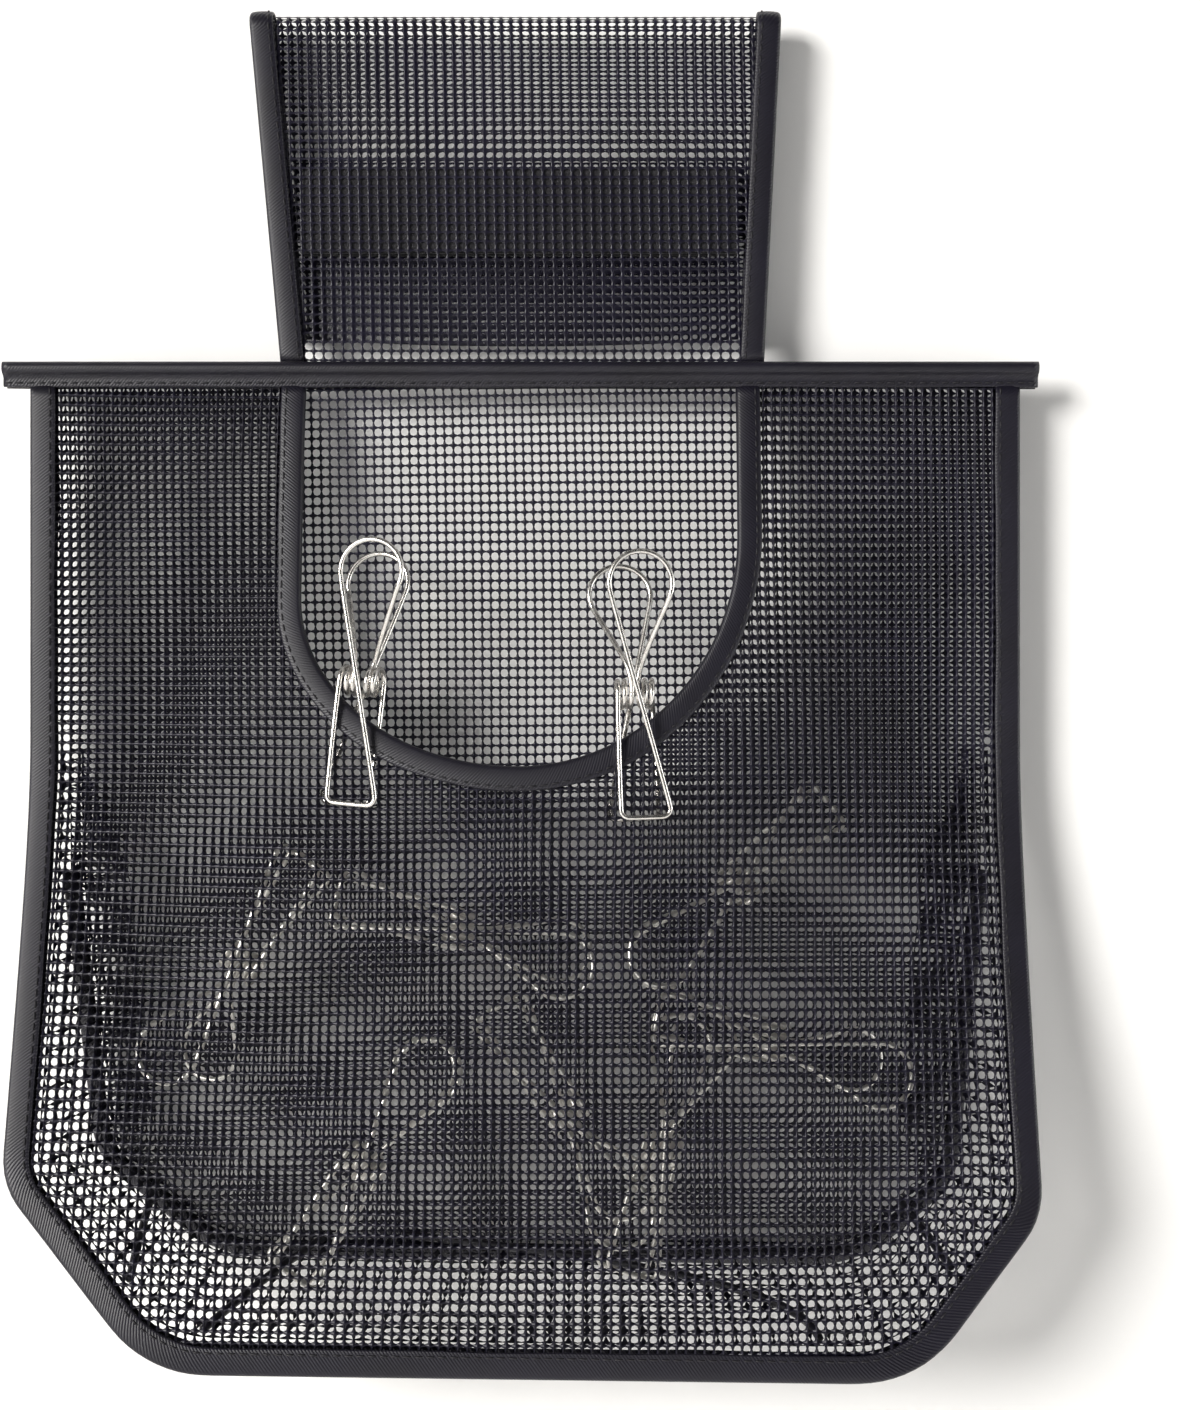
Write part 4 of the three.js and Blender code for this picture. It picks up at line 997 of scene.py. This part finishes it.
def strip_object(name, node, body):
    """A strip with rounded rims and a fine pile, in the place of its node."""
    low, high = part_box(node)
    size = high - low
    rim = np.array([0.0, PILE_ROUND, PILE_RIM])
    x = np.concatenate([rim, np.linspace(PILE_MARGIN, size.x - PILE_MARGIN, 40), size.x - rim[::-1]])
    z = np.concatenate([rim, np.linspace(PILE_MARGIN, size.z - PILE_MARGIN, 14), size.z - rim[::-1]])
    xx, zz = np.meshgrid(x, z, indexing="ij")
    edge = np.minimum(np.minimum(xx, size.x - xx), np.minimum(zz, size.z - zz))
    fall = PILE_ROUND * np.clip(1 - edge / PILE_RIM, 0, 1) ** 2
    pile = np.abs(PILE_HEIGHT * np.sin(xx * PILE_WAVES[0]) * np.sin(zz * PILE_WAVES[1]))
    faces = (low.y + fall + pile, high.y - fall - pile)
    points = np.reshape([np.stack([low.x + xx, y, low.z + zz], -1) for y in faces], (-1, 3))
    index = np.arange(xx.size).reshape(xx.shape)
    quads = np.stack([index[:-1, :-1], index[1:, :-1], index[1:, 1:], index[:-1, 1:]], -1).reshape(-1, 4)
    border = np.concatenate([index[:-1, 0], index[-1, :-1], index[:0:-1, -1], index[0, :0:-1]])
    walls = strip_quads(np.stack([border, border + xx.size]))[:, [1, 0, 3, 2]]
    points = points / MM + np.array([0.0, LINE_SEAT_Y, 0.0])
    quads = np.concatenate([quads, quads[:, ::-1] + xx.size, walls])
    obj = new_object(name, points, quads, materials=(closure_finish,))
    dress(obj, [node], body)


strip_object("loop_pile", "loop_strip", "bag")
strip_object("hook_pile", "hook_strip", "tail")


# Wire pegs

def half_wire(jaw, bends, handle_steps):
    """Middle line of a peg's front half, from the left coil's outer end to the right coil's inner end."""
    slope = (CROSSING - jaw) / JAW_DROP
    leg_top = np.array([-COIL_OUTER, -COIL_RADIUS, 0.0])
    bar_left = np.array([-JAW_LEFT, -jaw, -JAW_DROP])
    bar_right = np.array([JAW_RIGHT, -jaw, -JAW_DROP])

    def tangent(p, sign):
        x, z = p[0] - HANDLE_SHIFT, p[2] - HANDLE_RISE
        return math.atan2(z, x) + sign * math.acos(HANDLE_RADIUS / math.hypot(x, z))

    first = tangent(bar_right, -1) + 2 * math.pi
    last = tangent(ARM_KNEE, 1)
    angle = first + (last - first) * np.arange(handle_steps + 1) / handle_steps
    x = HANDLE_SHIFT + HANDLE_RADIUS * np.cos(angle)
    z = HANDLE_RISE + HANDLE_RADIUS * np.sin(angle)
    handle = np.stack([x, -jaw - slope * (z + JAW_DROP), z], 1)
    left_bend = round_corner(leg_top, bar_left, bar_right, JAW_BEND, bends)
    right_bend = round_corner(bar_left, bar_right, handle[0], JAW_BEND, bends)
    arm = np.array([ARM_KNEE, (COIL_INNER, COIL_RADIUS, ARM_FOOT), (COIL_INNER, COIL_RADIUS, 0.0)])
    return np.concatenate([leg_top[None], left_bend, right_bend, handle, arm])


def coil_wire(steps):
    """Middle line of the right coil, without its ends."""
    turns = COIL_TURNS * np.arange(1, COIL_TURNS * steps) / (COIL_TURNS * steps)
    angle = 2 * math.pi * turns
    x = COIL_INNER + COIL_PITCH * turns
    return np.stack([x, COIL_RADIUS * np.cos(angle), -COIL_RADIUS * np.sin(angle)], 1)


def half_turn(points):
    return points * np.array([-1.0, -1.0, 1.0])


def whole_peg(jaw, bends, handle_steps, coil_steps):
    """Middle line of a peg as one wire, whose ends meet in the rear jaw's bar."""
    front = half_wire(jaw, bends, handle_steps)
    rear = half_turn(front)
    coil = coil_wire(coil_steps)
    bar = 1 + bends
    middle = (rear[bar] + rear[bar + 1]) / 2
    path = np.concatenate(
        [middle[None], rear[bar + 1:], half_turn(coil), front, coil, rear[: bar + 1], middle[None]]
    )
    for end, near in ((0, 1), (-1, -2)):
        path[end] = path[end] + unit(path[near] - path[end]) * WIRE_END_GAP / 2
    return path


def smooth_path(path, spacing):
    """Points along a path at an even spacing, on a curve through its points."""
    p = np.concatenate([[2 * path[0] - path[1]], path, [2 * path[-1] - path[-2]]])
    found = []
    for i in range(1, len(p) - 2):
        chord = np.linalg.norm(p[i + 1] - p[i])
        count = max(1, int(math.ceil(chord / spacing)))
        knots = [0.0]
        for k in range(3):
            knots.append(knots[-1] + max(1e-6, np.linalg.norm(p[i + k] - p[i + k - 1]) ** 0.5))
        t = knots[1] + (knots[2] - knots[1]) * np.arange(count)[:, None] / count

        def mixed(a, b, low, high):
            return ((knots[high] - t) * a + (t - knots[low]) * b) / (knots[high] - knots[low])

        near = [mixed(p[i + k - 1], p[i + k], k, k + 1) for k in range(3)]
        found.append(mixed(mixed(*near[:2], 0, 2), mixed(*near[1:], 1, 3), 1, 2))
    return np.concatenate([*found, path[-1:]])


def frame_on_panel(x, z, lean):
    """Turn of a peg that lies along the front panel at a place and leans by some degrees."""
    slope_x = (front_y(x + 1, z) - front_y(x - 1, z)) / 2
    slope_z = (front_y(x, z + 1) - front_y(x, z - 1)) / 2
    angle = math.radians(lean)
    rise = slope_x * math.sin(angle) + slope_z * math.cos(angle)
    up = unit(np.array([math.sin(angle), rise, math.cos(angle)]))
    behind = unit(np.array([-slope_x, 1.0, -slope_z]))
    return np.stack([np.cross(behind, up), behind, up], 1)


def wire_object(name, path, turn, at, finish, nodes=(), body=None):
    points, quads, tris = tube(path, WIRE / 2, WIRE_SIDES)
    obj = new_object(name, points @ turn.T + at, quads, tris, (finish,))
    dress(obj, nodes, body)
    return obj


def clipped_peg(name, across, below, lean):
    """A peg on the lip: its rear half on the bag, its front half on its own body, and two coils between."""
    x = across * SCOOP_HALF
    z = BAND_Z - SCOOP_DEPTH - below
    turn = frame_on_panel(x, z, lean)
    at = turn @ np.array([0.0, 0.0, JAW_DROP]) + np.array([x, float(front_y(x, z)), z])
    bends, handle_steps, coil_steps = FINE_PEG
    front = half_wire(JAW_CLIPPED, bends, handle_steps)
    coil = coil_wire(coil_steps)
    whole = np.concatenate([front, coil, half_turn(front), half_turn(coil), front[:1]])
    marks = np.cumsum([0, len(front) - 1, len(coil) + 1, len(front) - 1, len(coil) + 1])
    padded = np.concatenate([whole[-1 - JOIN_PAD:-1], whole, whole[1:1 + JOIN_PAD]])
    parts = []
    for i in range(4):
        first, last = marks[i] + JOIN_PAD, marks[i + 1] + JOIN_PAD
        wider = smooth_path(padded[first - JOIN_PAD + 1:last + JOIN_PAD], CLIPPED_SPACING)
        near = [np.argmin(np.linalg.norm(wider - padded[k], axis=1)) for k in (first, last)]
        if near[1] <= near[0]:
            near[1] = len(wider) - 1
        parts.append(wider[near[0]:near[1] + 1])
    body = f"{name}_front"
    for label, part, rides in (("front", parts[0], body), ("rear", parts[2], "bag")):
        wire_object(f"{name}_{label}_wire", part, turn, at, wire_finish, [f"{name}_{label}_half"], rides)
    coils = (("right", parts[1], COIL_OUTER, COIL_INNER), ("left", parts[3], -COIL_INNER, -COIL_OUTER))
    for label, part, *ends in coils:
        coil_piece = wire_object(f"{name}_{label}_coil", part, turn, at, wire_finish)
        start, end = world([turn @ np.array([x_end, 0.0, 0.0]) + at for x_end in ends])
        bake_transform(coil_piece)


for peg_name, peg_place in CLIPPED_PEGS.items():
    clipped_peg(peg_name, *peg_place)

coarse_peg = whole_peg(JAW_CLOSED, *COARSE_PEG)
fine_peg = smooth_path(whole_peg(JAW_CLOSED, *FINE_PEG), LOOSE_SPACING)
slope = -math.atan2(CROSSING - JAW_CLOSED, JAW_DROP)
tilt = np.array(
    [[1, 0, 0], [0, math.cos(slope), -math.sin(slope)], [0, math.sin(slope), math.cos(slope)]]
)
for number, (share, down, lean, over) in enumerate(LOOSE_PEGS, 1):
    x = share * BODY_HALF
    z = BAND_Z - down * BODY_DROP
    turn = frame_on_panel(x, z, lean) @ tilt
    moved = coarse_peg @ turn.T + np.array([x, 0.0, z])
    reach = CLOTH / 2 + 2 * GAP + WIRE / 2 + over * WIRE
    y = np.max(front_y(moved[:, 0], moved[:, 2]) + reach - moved[:, 1])
    place = np.array([x, y, z])
    wire_object(f"loose_wire_{number}", fine_peg, turn, place, brightened_loose_finish, [f"loose_peg_{number}"], "bag")


# Gusset between the two bound edges, with its hem and its seams

gusset_below = np.where(front_path[:, 1] < WEDGE_Z)[0]
gusset_run = slice(gusset_below[0], gusset_below[-1] + 1)
gusset_front = beside(front_y, front_path[gusset_run], front_in[gusset_run], GUSSET_REACH, LAYER)
gusset_back = beside(back_y, back_path[gusset_run], back_in[gusset_run], GUSSET_BACK_REACH, -LAYER)
gusset_length = lengths(gusset_front)
gusset_width = np.linalg.norm(gusset_back - gusset_front, axis=1)


def gusset_wide(s):
    return np.interp(s, gusset_length, gusset_width)


def gusset_place(s, part, lift):
    """Points on the gusset at a length s along it, from 0 at the front edge to 1 at the back edge."""
    a = at_lengths(s, gusset_length, gusset_front)
    b = at_lengths(s, gusset_length, gusset_back)
    bow = np.sin(np.pi * part) * np.minimum(gusset_wide(s), BOW_WIDTH) * GUSSET_BOW
    n = at_lengths(s, gusset_length, front_in[gusset_run])
    into = np.stack([n[:, 0], np.zeros(len(n)), n[:, 1]], 1)
    return a + (b - a) * part[:, None] + into * (bow - lift)[:, None]


def gusset_object():
    length = gusset_length[-1]
    nodes = ["gusset_left", "gusset_bottom", "gusset_right"]
    down = (0, gusset_width.max() + GUSSET_PITCH[1])

    def kept(s, w):
        return w < gusset_wide(s) + GAP

    def place(s, w, lift):
        return gusset_place(s, np.clip(w / np.maximum(gusset_wide(s), 1.0), 0, 1), lift)

    obj, area = woven(
        "gusset_net", nodes, "bag", GUSSET_PITCH, (0, length), down, kept, GUSSET_HOLE, FLAT_WEAVE, place
    )
    area = area * MM * MM * solid_share(GUSSET_HOLE)


def hem_width(z):
    """Width of the gusset's turned-in hem: wide up the sides, narrow round the chamfers and the bottom."""
    up = np.clip((z - HEM_BEND_Z) / HEM_FADE, 0, 1)
    down = np.clip((HEM_TOP_Z - z) / HEM_FADE, 0, 1)
    return HEM_NARROW + (HEM_WIDE - HEM_NARROW) * np.minimum(up, down)


def hem_object():
    """The gusset's edge turned in along the inside of the back panel."""
    path = back_path[gusset_run]
    run = lengths(path)
    down = (0, HEM_WIDE + HEM_PITCH[1])

    def kept(s, w):
        return w < hem_width(np.interp(s, run, path[:, 1]))

    def place(s, w, lift):
        p = at_lengths(s, run, path)
        n = at_lengths(s, run, back_in[gusset_run])
        return beside(back_y, p, n, (w + GUSSET_BACK_REACH)[:, None], -2 * LAYER - lift)

    obj, area = woven(
        "gusset_hem", (), "bag", HEM_PITCH, (0, run[-1]), down, kept, HEM_HOLE, DEEP_WEAVE, place
    )


def seam_tube(front_at, back_at, bend):
    """A rolled seam across the gusset, from a place on its front edge to one on its back edge."""
    s_front = gusset_length[np.argmin(np.linalg.norm(gusset_front[:, [0, 2]] - front_at, axis=1))]
    s_back = gusset_length[np.argmin(np.linalg.norm(gusset_back[:, [0, 2]] - back_at, axis=1))]
    part = np.linspace(0.02, 0.98, 30)
    s = s_front + (s_back - s_front) * part**bend
    return tube(gusset_place(s, part, np.full(len(part), -SEAM_RADIUS)), SEAM_RADIUS, SEAM_SIDES)


def seams_object():
    parts = [(*seam_tube(np.array(a), np.array(b), bend), None, 0) for a, b, bend in GUSSET_SEAMS]
    dress(joined_object("gusset_seams", parts, (tape_finish,)), (), "bag")


gusset_object()
hem_object()
seams_object()


# Camera, light and stage

scene = bpy.context.scene
scene.view_settings.view_transform = "Standard"
camera = placed("camera", bpy.data.cameras.new("camera"))
camera.data.sensor_width = CAMERA_SENSOR
camera.data.lens = CAMERA_LENS
camera.data.clip_start = CAMERA_NEAR
camera.location = CAMERA_PLACE
camera.rotation_euler = (math.radians(90), 0, 0)
scene.camera = camera


def area_lamp(name, place, size, power, color):
    data = bpy.data.lights.new(name, "AREA")
    data.shape = "DISK"
    data.size = size
    data.energy = power
    data.color = color
    lamp = placed(name, data)
    lamp.location = place
    aim = Vector(LAMP_TARGET) - Vector(place)
    lamp.rotation_euler = aim.to_track_quat("-Z", "Y").to_euler()


area_lamp("key", **KEY_LAMP)
area_lamp("fill", **FILL_LAMP)


def combined(tree, operation, first, second):
    node = add_node(tree, "Math", {0: first, 1: second})
    node.operation = operation
    return node.outputs[0]


def seen_directly(tree, mirrored=None):
    """1 for rays that show the backdrop, straight or in metal, and 0 for those that light things.
    mirrored is the share of the backdrop that shows in metal."""
    path = add_node(tree, "LightPath", {}).outputs
    glossy = path["Is Glossy Ray"]
    if mirrored is not None:
        glossy = combined(tree, "MULTIPLY", glossy, mirrored)
    straight = combined(tree, "MAXIMUM", path["Is Camera Ray"], path["Is Transmission Ray"])
    return combined(tree, "MAXIMUM", straight, glossy)


def make_world():
    """A studio that is white all round to look at, but dim in front and to the left in reflections."""
    studio = bpy.data.worlds.new("studio")
    studio.use_nodes = True
    tree = studio.node_tree
    sky = tree.nodes["Background"]
    sky.inputs["Color"].default_value = (1, 1, 1, 1)
    turned = add_node(
        tree, "VectorMath", {0: add_node(tree, "TexCoord", {}).outputs["Generated"], 1: WHITE_SIDE}
    )
    turned.operation = "DOT_PRODUCT"
    behind = map_range(tree, turned.outputs["Value"], 0.0, 1.0, *WHITE_RANGE)
    mirror = add_node(tree, "LightPath", {}).outputs["Is Glossy Ray"]
    unseen = map_range(tree, mirror, SKY_LIGHT, SKY_MIRRORED)
    seen = seen_directly(tree, behind)
    tree.links.new(combined(tree, "MAXIMUM", unseen, seen), sky.inputs["Strength"])
    scene.world = studio


make_world()


def stage_plane(name, corners, one_sided, shine):
    """A sheet of pale paper with a slight glow. A one-sided one can't be seen from behind."""
    mesh = bpy.data.meshes.new(name)
    mesh.from_pydata(corners, [], [(0, 1, 2, 3)])
    made = bpy.data.materials.new(name)
    made.use_nodes = True
    tree = made.node_tree
    tree.nodes.clear()
    paper = add_node(tree, "BsdfDiffuse", {"Color": (*PAPER, 1)})
    strength = map_range(tree, seen_directly(tree), 0.0, shine)
    glow = add_node(tree, "Emission", {"Color": (1, 1, 1, 1), "Strength": strength})
    shown = add_node(tree, "AddShader", {0: paper.outputs[0], 1: glow.outputs[0]}).outputs[0]
    if one_sided:
        behind = add_node(tree, "NewGeometry", {}).outputs["Backfacing"]
        clear = add_node(tree, "BsdfTransparent", {}).outputs[0]
        shown = add_node(tree, "MixShader", {0: behind, 1: shown, 2: clear}).outputs[0]
    add_node(tree, "OutputMaterial", {"Surface": shown})
    mesh.materials.append(made)
    placed(name, mesh)


def stage_corners(bottom, top):
    """Corners of a level or upright rectangle, from pairs of the second and third coordinate."""
    left, right = -STAGE_HALF, STAGE_HALF
    return [(left, *bottom), (right, *bottom), (right, *top), (left, *top)]


stage_plane("wall", stage_corners((WALL_Y, FLOOR_Z), (WALL_Y, STAGE_HALF)), True, WALL_GLOW)
stage_plane("floor", stage_corners((-STAGE_HALF, FLOOR_Z), (STAGE_HALF, FLOOR_Z)), False, FLOOR_GLOW)
